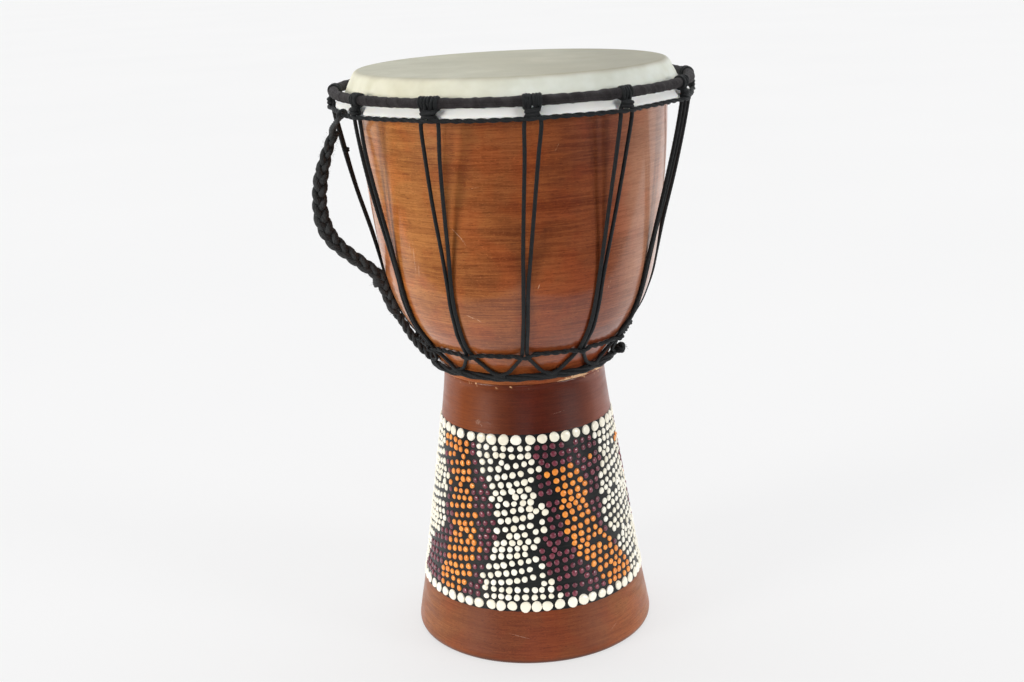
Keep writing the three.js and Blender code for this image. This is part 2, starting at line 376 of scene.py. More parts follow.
# ---- materials --------------------------------------------------------------------------------
class Paint:
    """A procedural material under construction; each call adds nodes and returns a socket."""

    def __init__(self, name, rough=0.5):
        self.material = bpy.data.materials.new(name)
        self.material.use_nodes = True
        self.tree = self.material.node_tree
        self.shader = self.tree.nodes["Principled BSDF"]
        self.shader.inputs["Roughness"].default_value = rough
        self.place = self.node("ShaderNodeTexCoord").outputs["Object"]

    def node(self, kind, inputs=None, **settings):
        made = self.tree.nodes.new(kind)
        for key, value in settings.items():
            setattr(made, key, value)
        for key, value in (inputs or {}).items():
            self.put(made.inputs[key], value)
        return made

    def put(self, socket, value):
        if isinstance(value, bpy.types.NodeSocket):
            self.tree.links.new(value, socket)
        elif socket.type == "RGBA":
            socket.default_value = (*value, 1)
        else:
            socket.default_value = value

    def set(self, **values):
        """Sets the shader's inputs: base_color is Base Color, and so on."""
        for key, value in values.items():
            self.put(self.shader.inputs[key.replace("_", " ").title().replace("Ior", "IOR")], value)

    def math(self, operation, a, b=0.0):
        return self.node("ShaderNodeMath", {0: a, 1: b}, operation=operation).outputs[0]

    def times(self, *values):
        total = values[0]
        for value in values[1:]:
            total = self.math("MULTIPLY", total, value)
        return total

    def plus(self, a, b):
        return self.math("ADD", a, b)

    def minus(self, a, b):
        return self.math("SUBTRACT", a, b)

    def stretched(self, scale):
        inputs = {0: self.place, 1: scale}
        return self.node("ShaderNodeVectorMath", inputs, operation="MULTIPLY").outputs[0]

    def noise(self, vector=None, scale=1.0, detail=3.0, rough=0.5, twist=0.0):
        inputs = {
            "Vector": vector or self.place,
            "Scale": scale,
            "Detail": detail,
            "Roughness": rough,
            "Distortion": twist,
        }
        return self.node("ShaderNodeTexNoise", inputs).outputs[0]

    def grain(self, stretch, detail=3.0, **settings):
        """Noise with its own scale along each axis."""
        return self.noise(self.stretched(stretch), detail=detail, **settings)

    def cells(self, vector):
        inputs = {"Vector": vector, "Scale": 1.0}
        return self.node("ShaderNodeTexVoronoi", inputs).outputs["Distance"]

    def between(self, value, low, high, to_low=0.0, to_high=1.0):
        """Smooth step of a value from low to high."""
        inputs = {0: value, 1: low, 2: high, 3: to_low, 4: to_high}
        return self.node("ShaderNodeMapRange", inputs, interpolation_type="SMOOTHSTEP").outputs[0]

    def colours(self, value, stops):
        made = self.node("ShaderNodeValToRGB", {0: value})
        ramp = made.color_ramp
        while len(ramp.elements) < len(stops):
            ramp.elements.new(0.5)
        for element, (at, colour) in zip(ramp.elements, stops):
            element.position = at
            element.color = (*colour, 1)
        return made.outputs[0]

    def mix(self, share, a, b, blend="MIX"):
        made = self.node("ShaderNodeMix", data_type="RGBA", blend_type=blend)
        for index, value in ((0, share), (6, a), (7, b)):
            self.put(made.inputs[index], value)
        return made.outputs[2]

    def tint(self, share, colour, factors):
        return self.mix(share, colour, factors, "MULTIPLY")

    def attribute(self, name):
        return self.node("ShaderNodeAttribute", attribute_name=name).outputs["Fac"]

    def xyz(self):
        return self.node("ShaderNodeSeparateXYZ", {0: self.place}).outputs

    def combine(self, x, y, z):
        return self.node("ShaderNodeCombineXYZ", {0: x, 1: y, 2: z}).outputs[0]

    def azimuth(self):
        """Azimuth in radians from -Y towards +X."""
        x, y, _ = self.xyz()
        return self.math("ARCTAN2", x, self.times(y, -1.0))

    def bump(self, height, distance, strength=1.0, under=None):
        inputs = {"Height": height, "Distance": distance, "Strength": strength}
        if under is not None:
            inputs["Normal"] = under
        return self.node("ShaderNodeBump", inputs).outputs[0]


def scratches(paint, marks):
    """
    Thin pale marks, joined by the strongest. Each is an azimuth, a height, a tilt in degrees from
    level, a length, a width and the wall's radius about there.
    """
    azimuth = paint.azimuth()
    height = paint.xyz()[2]
    total = None
    for degrees, z, tilt, length, width, radius in marks:
        inputs = {
            "Vector": paint.combine(paint.times(azimuth, radius * MM), height, 0.0),
            "Location": (math.radians(degrees) * radius * MM, z * MM, 0),
            "Rotation": (0, 0, math.radians(tilt)),
            "Scale": (length / 2 * MM, width / 2 * MM, 1),
        }
        local = paint.node("ShaderNodeMapping", inputs, vector_type="TEXTURE").outputs[0]
        off = paint.node("ShaderNodeVectorMath", {0: local}, operation="LENGTH").outputs["Value"]
        mask = paint.between(off, 1.0, 0.35)
        total = mask if total is None else paint.math("MAXIMUM", total, mask)
    return total


def wood_colour(paint, light, middle, dark):
    """Turned mahogany: fine level lines, faint upright ribbons, short pores and broad patches."""
    lines = paint.grain((48, 48, 1050), detail=4, rough=0.6, twist=0.1)
    bands = paint.grain((9, 9, 120), rough=0.55)
    ribbons = paint.grain((260, 260, 60), detail=2)
    broad = paint.grain((10, 10, 18))
    blend = paint.times(lines, 0.44)
    for part, share in ((bands, 0.24), (ribbons, 0.07), (broad, 0.25)):
        blend = paint.plus(blend, paint.times(part, share))
    colour = paint.colours(blend, [(0.415, dark), (0.50, middle), (0.585, light)])
    pores = paint.grain((330, 330, 2600), detail=1)
    pored = paint.between(pores, 0.60, 0.70)
    colour = paint.mix(paint.times(pored, 0.55), colour, tuple(c * 0.5 for c in dark))
    sparks = paint.grain((900, 900, 1500), detail=2)
    spark = paint.between(sparks, 0.58, 0.70, 0, 0.34)
    colour = paint.mix(spark, colour, tuple(c * 1.5 for c in light))
    warmth = paint.between(paint.noise(scale=42, detail=3), 0.42, 0.62, 0, 0.7)
    colour = paint.tint(warmth, colour, (1.08, 0.84, 0.74))
    relief = paint.minus(lines, paint.times(pored, 0.5))
    return colour, relief


def raw_wood(paint, colour, relief, inside):
    """Blends in the unfinished, tool-marked wood of the inner walls."""
    rings = paint.grain((30, 30, 420))
    bare = paint.colours(rings, [(0.35, (0.30, 0.165, 0.085)), (0.65, (0.46, 0.28, 0.155))])
    marks = paint.plus(relief, paint.times(inside, paint.times(rings, 3.0)))
    return paint.mix(inside, colour, bare), marks


def lacquer(paint, inside, normal, relief, gloss, coat_roughness):
    """Satin lacquer outside; the inner walls stay dull."""
    cloud = paint.grain((60, 60, 200))
    rough = paint.between(cloud, 0.3, 0.7, 0.36, 0.48)
    paint.set(
        roughness=paint.plus(rough, paint.times(inside, 0.4)),
        specular_ior_level=0.16,
        coat_weight=paint.times(paint.minus(1.0, inside), gloss),
        coat_roughness=coat_roughness,
        coat_ior=1.5,
        normal=paint.bump(relief, 0.00005, 0.5, normal),
        coat_normal=normal,
    )


def bowl_wood():
    paint = Paint("bowl_mahogany")
    colour, relief = wood_colour(
        paint, (0.345, 0.108, 0.029), (0.262, 0.074, 0.0185), (0.170, 0.041, 0.0095)
    )
    # painted shade: the colour darkens and reddens towards the right, where the light from the left
    # falls off; it also darkens and reddens towards the low part of the bowl
    x, _, z = paint.xyz()
    shade_right = paint.between(x, -0.02, 0.05, 0, 0.9)
    colour = paint.tint(shade_right, colour, (0.74, 0.60, 0.70))
    low = paint.between(z, 0.275, 0.205, 0, 0.4)
    colour = paint.tint(low, colour, (0.90, 0.78, 0.80))
    # painted reflection: the wood grows paler and hazier towards both sides, standing in for soft
    # reflections there, and on the left also painted light from the lamp on that side
    left = paint.between(x, 0.0, -0.088)
    colour = paint.tint(left, colour, (1.58, 2.02, 1.98))
    # on the right the painted reflection is a pale pinkish haze
    right = paint.between(x, 0.054, 0.086)
    colour = paint.tint(right, colour, (1.75, 3.0, 5.4))
    colour = paint.mix(paint.times(right, 0.35), colour, (0.46, 0.24, 0.155))
    marks = scratches(
        paint,
        [
            (-22.5, 303, -48, 16, 0.75, 96),
            (-20.8, 299, -58, 9, 0.55, 96),
            (-44.5, 284, 84, 26, 0.7, 96),
            (-43.0, 277, 78, 13, 0.6, 96),
            (-46.0, 292, 87, 10, 0.5, 96),
            (-21.5, 247, -25, 9, 0.9, 90),
            (-18.5, 245, -35, 6, 0.8, 90),
            (7, 268, 70, 5, 0.8, 93),
            (14.5, 356, 60, 7, 0.35, 102),
            (-15, 333, 12, 9, 0.3, 101),
            (38, 262, 72, 9, 0.35, 93),
            (118, 300, 40, 14, 0.4, 96),
            (196, 322, -35, 18, 0.45, 98),
            (247, 280, 70, 12, 0.4, 95),
        ],
    )
    broken = paint.between(paint.noise(scale=900, detail=2), 0.38, 0.55)
    worn = paint.times(marks, broken, 0.7)
    colour = paint.mix(worn, colour, (0.66, 0.40, 0.24))
    # the lower lip is rubbed to bare wood, with a few pale chips
    chips = paint.noise(scale=150, detail=3)
    azimuth = paint.azimuth()
    rubbed = paint.math("COSINE", paint.minus(azimuth, math.radians(48)))
    reach = paint.plus(paint.between(rubbed, 0.86, 0.975, 0.0, 0.0040), 0.1922)
    depth = paint.minus(z, reach)
    lip = paint.times(paint.between(depth, 0.0004, -0.0002), paint.between(chips, 0.36, 0.46))
    colour = paint.mix(lip, colour, (0.66, 0.40, 0.22))
    inside = paint.attribute("inside")
    colour, relief = raw_wood(paint, colour, relief, inside)
    paint.set(base_color=colour)
    turning = paint.grain((4, 4, 420), detail=2)
    gloss = paint.between(z, 0.1950, 0.1985, 0.0, 0.62)
    lacquer(paint, inside, paint.bump(turning, 0.00010, 0.35), relief, gloss, 0.13)
    return paint.material


PAINTED_LOW, PAINTED_HIGH = 36.8, 158.2  # edges of the black painted band on the foot


def foot_wood():
    paint = Paint("foot_mahogany")
    dark_stain, relief = wood_colour(
        paint, (0.092, 0.0155, 0.0052), (0.076, 0.0118, 0.0039), (0.058, 0.0084, 0.0030)
    )
    x, _, z = paint.xyz()
    # painted light: the dark stain is lifted towards a lighter, warmer copy on the left, where the
    # lamp from the left falls, and paled by a pinkish haze on the right, a painted reflection
    lit_left_wood = paint.colours(relief, [(0.2, (0.175, 0.038, 0.0070)), (0.6, (0.245, 0.058, 0.0105))])
    left = paint.between(x, 0.0, -0.048, 0, 0.9)
    colour = paint.mix(left, dark_stain, lit_left_wood)
    right = paint.between(x, 0.030, 0.055)
    colour = paint.tint(right, colour, (2.2, 3.9, 6.2))
    colour = paint.mix(paint.times(right, 0.4), colour, (0.225, 0.078, 0.056))
    # the base below the band is paler wood; towards both sides it is paler still, a painted
    # reflection, and towards its bottom edge it browns, a painted shadow
    base = paint.between(z, 0.040, 0.036)
    pale, _ = wood_colour(
        paint, (0.176, 0.0435, 0.0110), (0.145, 0.0335, 0.0082), (0.116, 0.0245, 0.0058)
    )
    side_haze = paint.between(paint.math("ABSOLUTE", x), 0.03, 0.08)
    pale = paint.tint(side_haze, pale, (1.65, 2.35, 2.8))
    colour = paint.mix(base, colour, pale)
    bottom_edge_shade = paint.between(z, 0.0045, 0.0008, 0, 0.75)
    colour = paint.mix(bottom_edge_shade, colour, (0.05, 0.017, 0.008))
    scuffs = scratches(
        paint,
        [
            (-34, 165, 20, 5, 4.2, 59),
            (-31.5, 163, -30, 2.5, 1.6, 59),
            (22, 171, 8, 12, 0.35, 58),
            (-8, 20, -14, 20, 0.4, 81),
            (41, 15, 30, 11, 0.4, 82),
            (150, 176, 60, 9, 0.4, 57),
            (205, 18, 10, 16, 0.5, 81),
        ],
    )
    broken = paint.between(paint.noise(scale=1100, detail=3), 0.36, 0.6)
    colour = paint.mix(paint.times(scuffs, broken, 0.4), colour, (0.50, 0.36, 0.28))
    chips = paint.between(paint.noise(scale=190, detail=2), 0.60, 0.66)
    chips = paint.times(chips, paint.between(z, 0.1885, 0.1905))
    colour = paint.mix(chips, colour, (0.58, 0.33, 0.17))
    # hand-painted black band: its edges wander a little and the brush leaves faint level ridges
    wander = paint.times(paint.minus(paint.noise(scale=70, detail=2), 0.5), 0.0022)
    edge_z = paint.plus(z, wander)
    band = paint.times(
        paint.between(edge_z, PAINTED_LOW * MM - 0.0002, PAINTED_LOW * MM + 0.0002),
        paint.between(edge_z, PAINTED_HIGH * MM + 0.0002, PAINTED_HIGH * MM - 0.0002),
    )
    brush = paint.grain((40, 40, 900))
    blacks = [(0.35, (0.0040, 0.0046, 0.0050)), (0.7, (0.0095, 0.0105, 0.0110))]
    black = paint.colours(brush, blacks)
    inside = paint.attribute("inside")
    outside_band = paint.times(band, paint.minus(1.0, inside))
    colour = paint.mix(outside_band, colour, black)
    colour, relief = raw_wood(paint, colour, relief, inside)
    paint.set(base_color=colour)
    turning = paint.grain((4, 4, 420), detail=2)
    normal = paint.bump(turning, 0.00009, 0.35)
    painted = paint.plus(outside_band, paint.times(brush, 0.3))
    gloss = paint.between(z, 0.034, 0.044, 0.12, 0.24)
    lacquer(paint, inside, paint.bump(painted, 0.00012, 0.8, normal), relief, gloss, 0.16)
    return paint.material


def dot_paint(name, dark, light, rough):
    """Thick acrylic: each dot has its own tone, and a skin that dried slightly uneven."""
    paint = Paint(name, rough)
    colour = paint.mix(paint.attribute("tone"), dark, light)
    speck = paint.noise(scale=2600, detail=2)
    colour = paint.mix(paint.between(speck, 0.45, 0.75, 0, 0.25), colour, dark)
    paint.set(
        base_color=colour,
        normal=paint.bump(paint.noise(scale=1100, detail=2), 0.00008, 0.5),
        coat_weight=0.45,
        coat_roughness=0.10,
    )
    return paint.material


def goatskin():
    paint = Paint("goatskin")
    x, y, z = paint.xyz()
    radius = paint.math("SQRT", paint.plus(paint.times(x, x), paint.times(y, y)))
    clouds = paint.noise(scale=22, detail=4, rough=0.6)
    dull, middle, pale = (0.385, 0.370, 0.270), (0.450, 0.436, 0.335), (0.530, 0.518, 0.415)
    top = paint.colours(clouds, [(0.32, dull), (0.50, middle), (0.70, pale)])
    # painted shade: the top darkens towards the right
    top = paint.tint(paint.between(x, -0.04, 0.09), top, (0.73, 0.715, 0.70))
    # hair roots: fine darker specks, thicker along the animal's back line
    roots = paint.cells(paint.stretched((900, 1300, 900)))
    root_mask = paint.between(roots, 0.30, 0.12, 0, 0.30)
    off_spine = paint.plus(x, paint.times(y, 0.35))
    spine = paint.between(paint.math("ABSOLUTE", off_spine), 0.045, 0.0)
    top = paint.mix(root_mask, top, (0.30, 0.25, 0.17))
    spine_cloud = paint.times(spine, paint.between(clouds, 0.35, 0.65, 0.15, 0.5))
    top = paint.tint(spine_cloud, top, (0.86, 0.83, 0.76))
    creams = [(0.35, (0.700, 0.680, 0.525)), (0.65, (0.790, 0.775, 0.625))]
    collar = paint.colours(paint.noise(scale=60, detail=3), creams)
    # painted light: the collar turns cooler and bluer towards the right, a painted tint of the
    # light falling on it
    collar = paint.tint(paint.between(x, -0.07, 0.02), collar, (0.91, 0.965, 1.09))
    edge = paint.plus(radius, paint.times(paint.minus(clouds, 0.5), 0.003))
    colour = paint.mix(paint.between(edge, 0.1016, 0.1054), top, collar)
    # a faint painted shade line where the skin turns over the bearing edge
    bearing_edge_shade = paint.times(paint.between(edge, 0.1006, 0.1032), paint.between(edge, 0.1060, 0.1036))
    colour = paint.mix(paint.times(bearing_edge_shade, 0.22), colour, (0.36, 0.31, 0.22))
    hem = paint.between(z, 0.3836, 0.3825)
    colour = paint.mix(hem, colour, (0.96, 0.975, 0.955))
    grain = paint.noise(scale=1500, detail=3, rough=0.6)
    wrinkle = paint.grain((300, 300, 90), detail=2)
    relief = paint.plus(paint.times(grain, 0.6), paint.times(wrinkle, 0.8))
    paint.set(
        base_color=colour,
        roughness=paint.between(clouds, 0.3, 0.7, 0.50, 0.62),
        normal=paint.bump(relief, 0.00012, 0.5),
        specular_ior_level=0.15,
        subsurface_weight=0.12,
        subsurface_radius=(0.004, 0.003, 0.002),
    )
    return paint.material


def laid_cord(name, dark, light, fibre_lay=900.0, rough=0.62, sheen=0.05):
    """Black cord: fine fibres that spiral along each ply, greyer where it is rubbed."""
    paint = Paint(name, rough)
    along = paint.attribute("along")
    around = paint.times(paint.attribute("around"), TAU)
    turn = paint.plus(around, paint.times(along, fibre_lay))
    vector = paint.combine(
        paint.times(paint.math("COSINE", turn), 3.0),
        paint.times(paint.math("SINE", turn), 3.0),
        paint.times(along, 160.0),
    )
    fibres = paint.noise(vector, scale=2.2, detail=4, rough=0.65)
    rubbed = paint.noise(scale=420, detail=3)
    shade = paint.plus(paint.times(fibres, 0.7), paint.times(rubbed, 0.3))
    colour = paint.colours(shade, [(0.36, dark), (0.66, light)])
    tone = paint.between(paint.attribute("tone"), 0.0, 1.0, 0.0, 0.35)
    colour = paint.mix(tone, colour, light)
    paint.set(
        base_color=colour,
        normal=paint.bump(fibres, 0.00022, 0.9),
        sheen_weight=sheen,
        sheen_roughness=0.5,
        sheen_tint=(0.55, 0.60, 0.60),
        specular_ior_level=0.18,
    )
    return paint.material


def ring_cloth():
    """Dark cotton strip: a plain weave that runs with the windings, faded on its edges."""
    paint = Paint("ring_cloth", 0.8)
    along = paint.attribute("along")
    around = paint.attribute("around")
    warp = paint.math("SINE", paint.times(along, TAU / 0.00075))
    weft = paint.math("SINE", paint.times(around, TAU, 28.0))
    weave = paint.times(warp, weft)
    slub = paint.noise(scale=700, detail=3)
    fade = paint.noise(scale=110, detail=3)
    black, grey, faded = (0.012, 0.0100, 0.0112), (0.024, 0.0205, 0.0225), (0.047, 0.042, 0.045)
    colour = paint.colours(fade, [(0.34, black), (0.52, grey), (0.70, faded)])
    colour = paint.mix(paint.between(weave, -0.2, 0.9, 0, 0.35), colour, (0.042, 0.036, 0.036))
    edge = paint.between(paint.attribute("edge"), 0.80, 0.97)
    colour = paint.mix(paint.times(edge, 0.3), colour, (0.050, 0.043, 0.043))
    relief = paint.plus(paint.times(weave, 0.5), slub)
    paint.set(
        base_color=colour,
        normal=paint.bump(relief, 0.00030, 1.0),
        specular_ior_level=0.3,
        sheen_weight=0.08,
        sheen_roughness=0.45,
        sheen_tint=(0.6, 0.55, 0.56),
    )
    return paint.material


def drawn_steel():
    """Bright drawn rod: fine lines along the ring, with a few spots of rust."""
    paint = Paint("drawn_steel")
    lines = paint.grain((60, 60, 3000))
    rust = paint.between(paint.noise(scale=160, detail=4), 0.60, 0.70)
    colour = paint.colours(lines, [(0.3, (0.34, 0.34, 0.34)), (0.7, (0.56, 0.56, 0.55))])
    colour = paint.mix(rust, colour, (0.16, 0.065, 0.030))
    paint.set(
        base_color=colour,
        metallic=paint.between(rust, 0, 1, 1, 0.1),
        roughness=paint.between(lines, 0.3, 0.7, 0.26, 0.42),
        normal=paint.bump(lines, 0.00005, 0.6),
    )
    return paint.material


SHEET_FRONT, SHEET_SLANT = -0.50, 0.70  # front edge of the lit paper in metres, and its slant


def studio_floor():
    """
    White paper, lit almost to white. Seen directly it fills the picture; the light it throws back
    on the drum comes only from the lit sheet, as past its edges a studio's floor is dark.
    """
    paint = Paint("pale_floor", 0.8)
    x, y, _ = paint.xyz()
    inward = paint.times(paint.math("ABSOLUTE", x), -SHEET_SLANT)
    depth = paint.plus(y, inward)
    lit = paint.between(depth, SHEET_FRONT - 0.03, SHEET_FRONT + 0.03, 0.06, 1.3)
    seen = paint.node("ShaderNodeLightPath").outputs["Is Camera Ray"]
    share = paint.node("ShaderNodeMix", {0: seen, 2: lit, 3: 1.0}).outputs[0]
    cloud = paint.noise(scale=1.4, detail=2)
    colour = paint.colours(cloud, [(0.3, (0.300, 0.302, 0.306)), (0.7, (0.312, 0.313, 0.316))])
    paint.set(
        base_color=paint.mix(share, (0.03, 0.03, 0.03), colour),
        specular_ior_level=0.0,
        emission_color=(1.0, 0.995, 0.99),
        emission_strength=paint.times(share, 0.62),
    )
    return paint.material


def finish_piece(obj, material, body="drum", replaces=()):
    obj.data.materials.clear()
    obj.data.materials.append(material)
    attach(obj, body)
    if replaces:
        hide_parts(*replaces)
    return obj


def cord_piece(soup, name, replaced, material):
    return finish_piece(soup.piece(name), material, replaces=replaced)


CORD = laid_cord("black_cord", (0.0038, 0.0042, 0.0048), (0.021, 0.023, 0.025))
PLAIT = laid_cord("handle_cord", (0.0145, 0.015, 0.0155), (0.060, 0.062, 0.064), 700.0, 0.8, 0.10)


# ---- cords: the handle ------------------------------------------------------------------------
# The braid's route in its upright plane, as (radius, height).
BRAID_ROUTE = [
    (120.2, 360.2), (124.5, 351.3), (127.6, 342.8), (130.7, 333), (132.7, 322.5), (133.4, 311.5),
    (132.2, 301.2), (128.6, 291.6), (122.2, 283.3), (114, 275.9), (105.9, 269), (99.7, 263.8),
]


def in_handle_plane(route):
    return np.array([polar(r, HANDLE_DEG, z) for r, z in route])


def add_plait(soup, path, half_width, half_depth, period, strand_r, rng, girth=None):
    """
    A three-strand plait along a path. Each strand is a soft bundle of yarns that swings from side
    to side once a period and dips behind or over the others twice. girth(share) scales it along
    the way.
    """
    tangent = unit(np.gradient(path, axis=0))
    outward = polar(1000, HANDLE_DEG, 0)  # the plait lies flat in the handle's own plane
    broad = unit(outward - tangent * (tangent @ outward)[:, None])
    deep = np.cross(tangent, broad)
    along = travelled(path)
    size = 1 + 0.05 * np.sin(along / 0.013 + rng.random() * TAU)
    if girth:
        size = size * girth(along / along[-1])
    for k in range(3):
        own = size * (1 + 0.07 * np.sin(along / 0.0061 + rng.random() * TAU))
        phase = TAU * (along / period + k / 3)
        centre = path + broad * (half_width * size * np.sin(phase))[:, None]
        centre = centre + deep * (half_depth * size * np.sin(2 * phase))[:, None]
        scale = np.interp(np.linspace(0, 1, 160), along / along[-1], own)
        lay = sized_lay(7, 0.021, scale, 0.15)
        add_tube(soup, catmull_rom(centre, 0.0004), strand_r, 28, False, lay, 0.0015, rng.random())


def sized_lay(plies, pitch, scale, depth):
    """The relief of a laid cord that also grows and shrinks along its way."""
    lay = lay_of(plies, pitch, depth)

    def relief(along, around):
        share = np.linspace(0, 1, len(along))[:, None]
        return lay(along, around) * np.interp(share, np.linspace(0, 1, len(scale)), scale)

    return relief


def braid_girth(share):
    """Slim where the plait starts, full at its bend, and a little slimmer towards the tie."""
    return np.interp(share, (0, 0.10, 0.28, 0.62, 1), (0.62, 0.78, 1.0, 1.0, 0.86))


def make_braid():
    rng = random.Random(11)
    # the plait runs on past its CAD end into the lower tie, which lies on the hinge's line
    route = in_handle_plane([*BRAID_ROUTE, (97.4, 261.2), (96.6, 257.6)])
    path = catmull_rom(route, 0.0008)
    soup = Soup()
    add_plait(soup, path, 0.0029, 0.0021, 0.0262, 0.00250, rng, braid_girth)
    fuzz_along(soup, path, 0.0048, 900, 0.0012, rng)
    braid = soup.piece("handle_plait")
    finish_piece(braid, PLAIT, "handle", ["handle_braid"])
    return braid


make_braid()

# ---- the turned shell and its outlines --------------------------------------------------------
BOWL = outline_of("bowl")
FOOT = outline_of("foot")


def outer_radius(outline, z):
    """Largest radius of an outline at a height."""
    found = []
    for (r0, z0), (r1, z1) in zip(outline, np.roll(outline, -1, 0)):
        if min(z0, z1) <= z <= max(z0, z1) and abs(z1 - z0) > 1e-9:
            found.append(r0 + (r1 - r0) * (z - z0) / (z1 - z0))
    return max(found)


def outer_slope(outline, z):
    return outer_radius(outline, z + 0.5) - outer_radius(outline, z - 0.5)


def on_bowl(z, cord_radius, gap=0.1):
    """Radius of a cord's centre where it lies against the bowl."""
    return outer_radius(BOWL, z) + (cord_radius + gap) * math.hypot(1, outer_slope(BOWL, z))


def turned(line, segments, relief, closed=True):
    """Turns a fine outline round the axis. relief(r, z, azimuth) pushes out in millimetres."""
    ahead = np.roll(line, -1, 0) - np.roll(line, 1, 0)
    if not closed:
        ahead[0], ahead[-1] = line[1] - line[0], line[-1] - line[-2]
    normal = unit(np.stack([ahead[:, 1], -ahead[:, 0]], -1))
    onward = np.roll(line, -1, 0)
    if closed and np.sum(line[:, 0] * onward[:, 1] - onward[:, 0] * line[:, 1]) < 0:
        normal = -normal
    azimuth = np.arange(segments) * 360 / segments
    r = line[:, :1] + 0 * azimuth[None]
    z = line[:, 1:] + 0 * azimuth[None]
    push = relief(r, z, azimuth[None] + 0 * r)
    return polar(r + push * normal[:, :1], azimuth[None], z + push * normal[:, 1:])


def shell_piece(node, outline, material, lowest, highest, relief):
    """A turned shell of wood; its points well inside the outer wall are marked as inside."""
    segments = 300
    line = catmull_rom(eased(outline), 1.6, closed=True)
    points = turned(line, segments, relief)
    faces = grid_faces(len(line), segments, wrap_rows=True)
    walls = [outer_radius(outline, min(max(z, lowest), highest)) for z in line[:, 1]]
    inside = np.repeat(line[:, 0] < np.array(walls) - 2.2, segments)
    made = mesh_piece(node + "_shell", points.reshape(-1, 3), faces, {"inside": inside})
    return finish_piece(made, material, replaces=[node])


def wavy(amplitude, seed, waves=(2, 3, 5, 9)):
    """A slow hand-sanded unevenness over azimuth and height."""
    rng = random.Random(seed)
    terms = [(n, rng.uniform(0, TAU), rng.uniform(18, 60), rng.uniform(0, TAU)) for n in waves]

    def relief(r, z, azimuth):
        total = 0 * r
        for n, a, tall, b in terms:
            total = total + np.sin(np.radians(azimuth) * n + a) * np.sin(z / tall + b)
        return amplitude * total / len(terms)

    return relief


def make_shell():
    shell_piece("bowl", BOWL, bowl_wood(), 193.6, 398, wavy(0.16, 3))
    shell_piece("foot", FOOT, foot_wood(), 0.6, 203.5, wavy(0.14, 5))


make_shell()

# ---- painted dots on the foot -----------------------------------------------------------------
BORDER_ROWS = [(154.6, 44), (40.5, 60)]  # height, and dots round the foot
BAND_HEIGHTS = (150, 135, 120, 105, 90, 75, 60, 47)
# Each coloured band: its left and right azimuth at those heights, with 400 above its upper end.
# Maroon fills what is left.
BANDS = [
    ("cream", (-98, -99, -95, -92, -96, -101, -105, -104),
     (-67, -68, -60, -63, -56, -72, -80, -83)),
    ("orange", (-65, -59, -55, -52, -49, -51, -56, -57), (-44, -40, -38, -35, -32, -31, -36, -40)),
    ("cream", (-32, -33, -22, -21, -18, -21, -27, -28), (-1, 5, 3, 8, 5, 1, 7, 13)),
    ("orange", (400, 9, 18, 20, 21, 26, 33, 42), (400, 27, 36, 36, 38, 48, 58, 60)),
    ("cream", (49, 53, 46, 50, 44, 53, 61, 63), (83, 86, 80, 84, 82, 88, 94, 96)),
    ("orange", (97, 93, 92, 96, 99, 103, 108, 112), (112, 109, 108, 113, 116, 121, 126, 128)),
    ("cream", (122, 119, 121, 126, 130, 133, 137, 138), (154, 150, 149, 155, 160, 164, 168, 171)),
    ("orange", (400, 166, 164, 168, 173, 178, 181, 184), (400, 181, 182, 186, 189, 193, 198, 202)),
    ("cream", (193, 196, 199, 203, 201, 208, 213, 214), (226, 229, 228, 233, 236, 240, 243, 242)),
]
DOT_SIZES = {"cream": 4.35, "orange": 4.1, "maroon": 3.9}


def band_at(azimuth, z):
    """The colour of the pattern at a place on the painted band."""
    heights = BAND_HEIGHTS[::-1]
    for colour, left, right in BANDS:
        low = np.interp(z, heights, left[::-1])
        high = np.interp(z, heights, right[::-1])
        middle = (low + high) / 2
        turn = (azimuth - middle + 180) % 360 - 180
        if high < 300 and abs(turn) < (high - low) / 2 + 1.6:
            return colour
    return "maroon"


def add_dot(soup, azimuth, z, diameter, rng, height_share=0.20):
    """One drop of paint: a low dome with a slightly uneven edge, sunk a little in the wall."""
    radius = diameter / 2
    r = outer_radius(FOOT, z)
    slope = math.atan(outer_slope(FOOT, z))
    centre = polar(r, azimuth, z)
    out = polar(math.cos(slope) * 1000, azimuth, -math.sin(slope) * 1000)
    level = polar(0, azimuth, 0, 1000)
    upward = np.cross(out, level)
    sides = 14
    a = np.arange(sides) * TAU / sides
    lean = rng.uniform(0, TAU)
    edge = 1 + 0.05 * np.cos(2 * a + lean) + 0.03 * np.cos(3 * a + rng.uniform(0, TAU))
    rings = [(1.0, -0.30), (1.0, 0.15), (0.90, 0.58), (0.68, 0.88), (0.36, 1.0)]
    top = diameter * height_share
    points = []
    for share, rise in rings:
        flat = radius * share * edge
        ring = np.outer(flat * np.cos(a), level) + np.outer(flat * np.sin(a), upward)
        points.append(centre + MM * (ring + out * (top * rise)))
    points.append((centre + out * MM * top * 1.02)[None])
    faces = grid_faces(len(rings), sides)
    tip = len(rings) * sides
    last = (len(rings) - 1) * sides
    faces += [[last + j, last + (j + 1) % sides, tip] for j in range(sides)]
    faces.append(list(range(sides))[::-1])
    soup.add(np.vstack(points), faces, tone=rng.random())


def border_dots(rng, soup):
    places = []
    for z, count in BORDER_ROWS:
        start = rng.uniform(0, 360)
        for i in range(count):
            azimuth = start + 360 * (i + rng.uniform(-0.11, 0.11)) / count
            height = z + rng.uniform(-0.35, 0.35)
            size = 7.1 * rng.uniform(0.92, 1.09)
            add_dot(soup, azimuth, height, size, rng, 0.15)
            places.append((azimuth, height, size / 2))
    return places


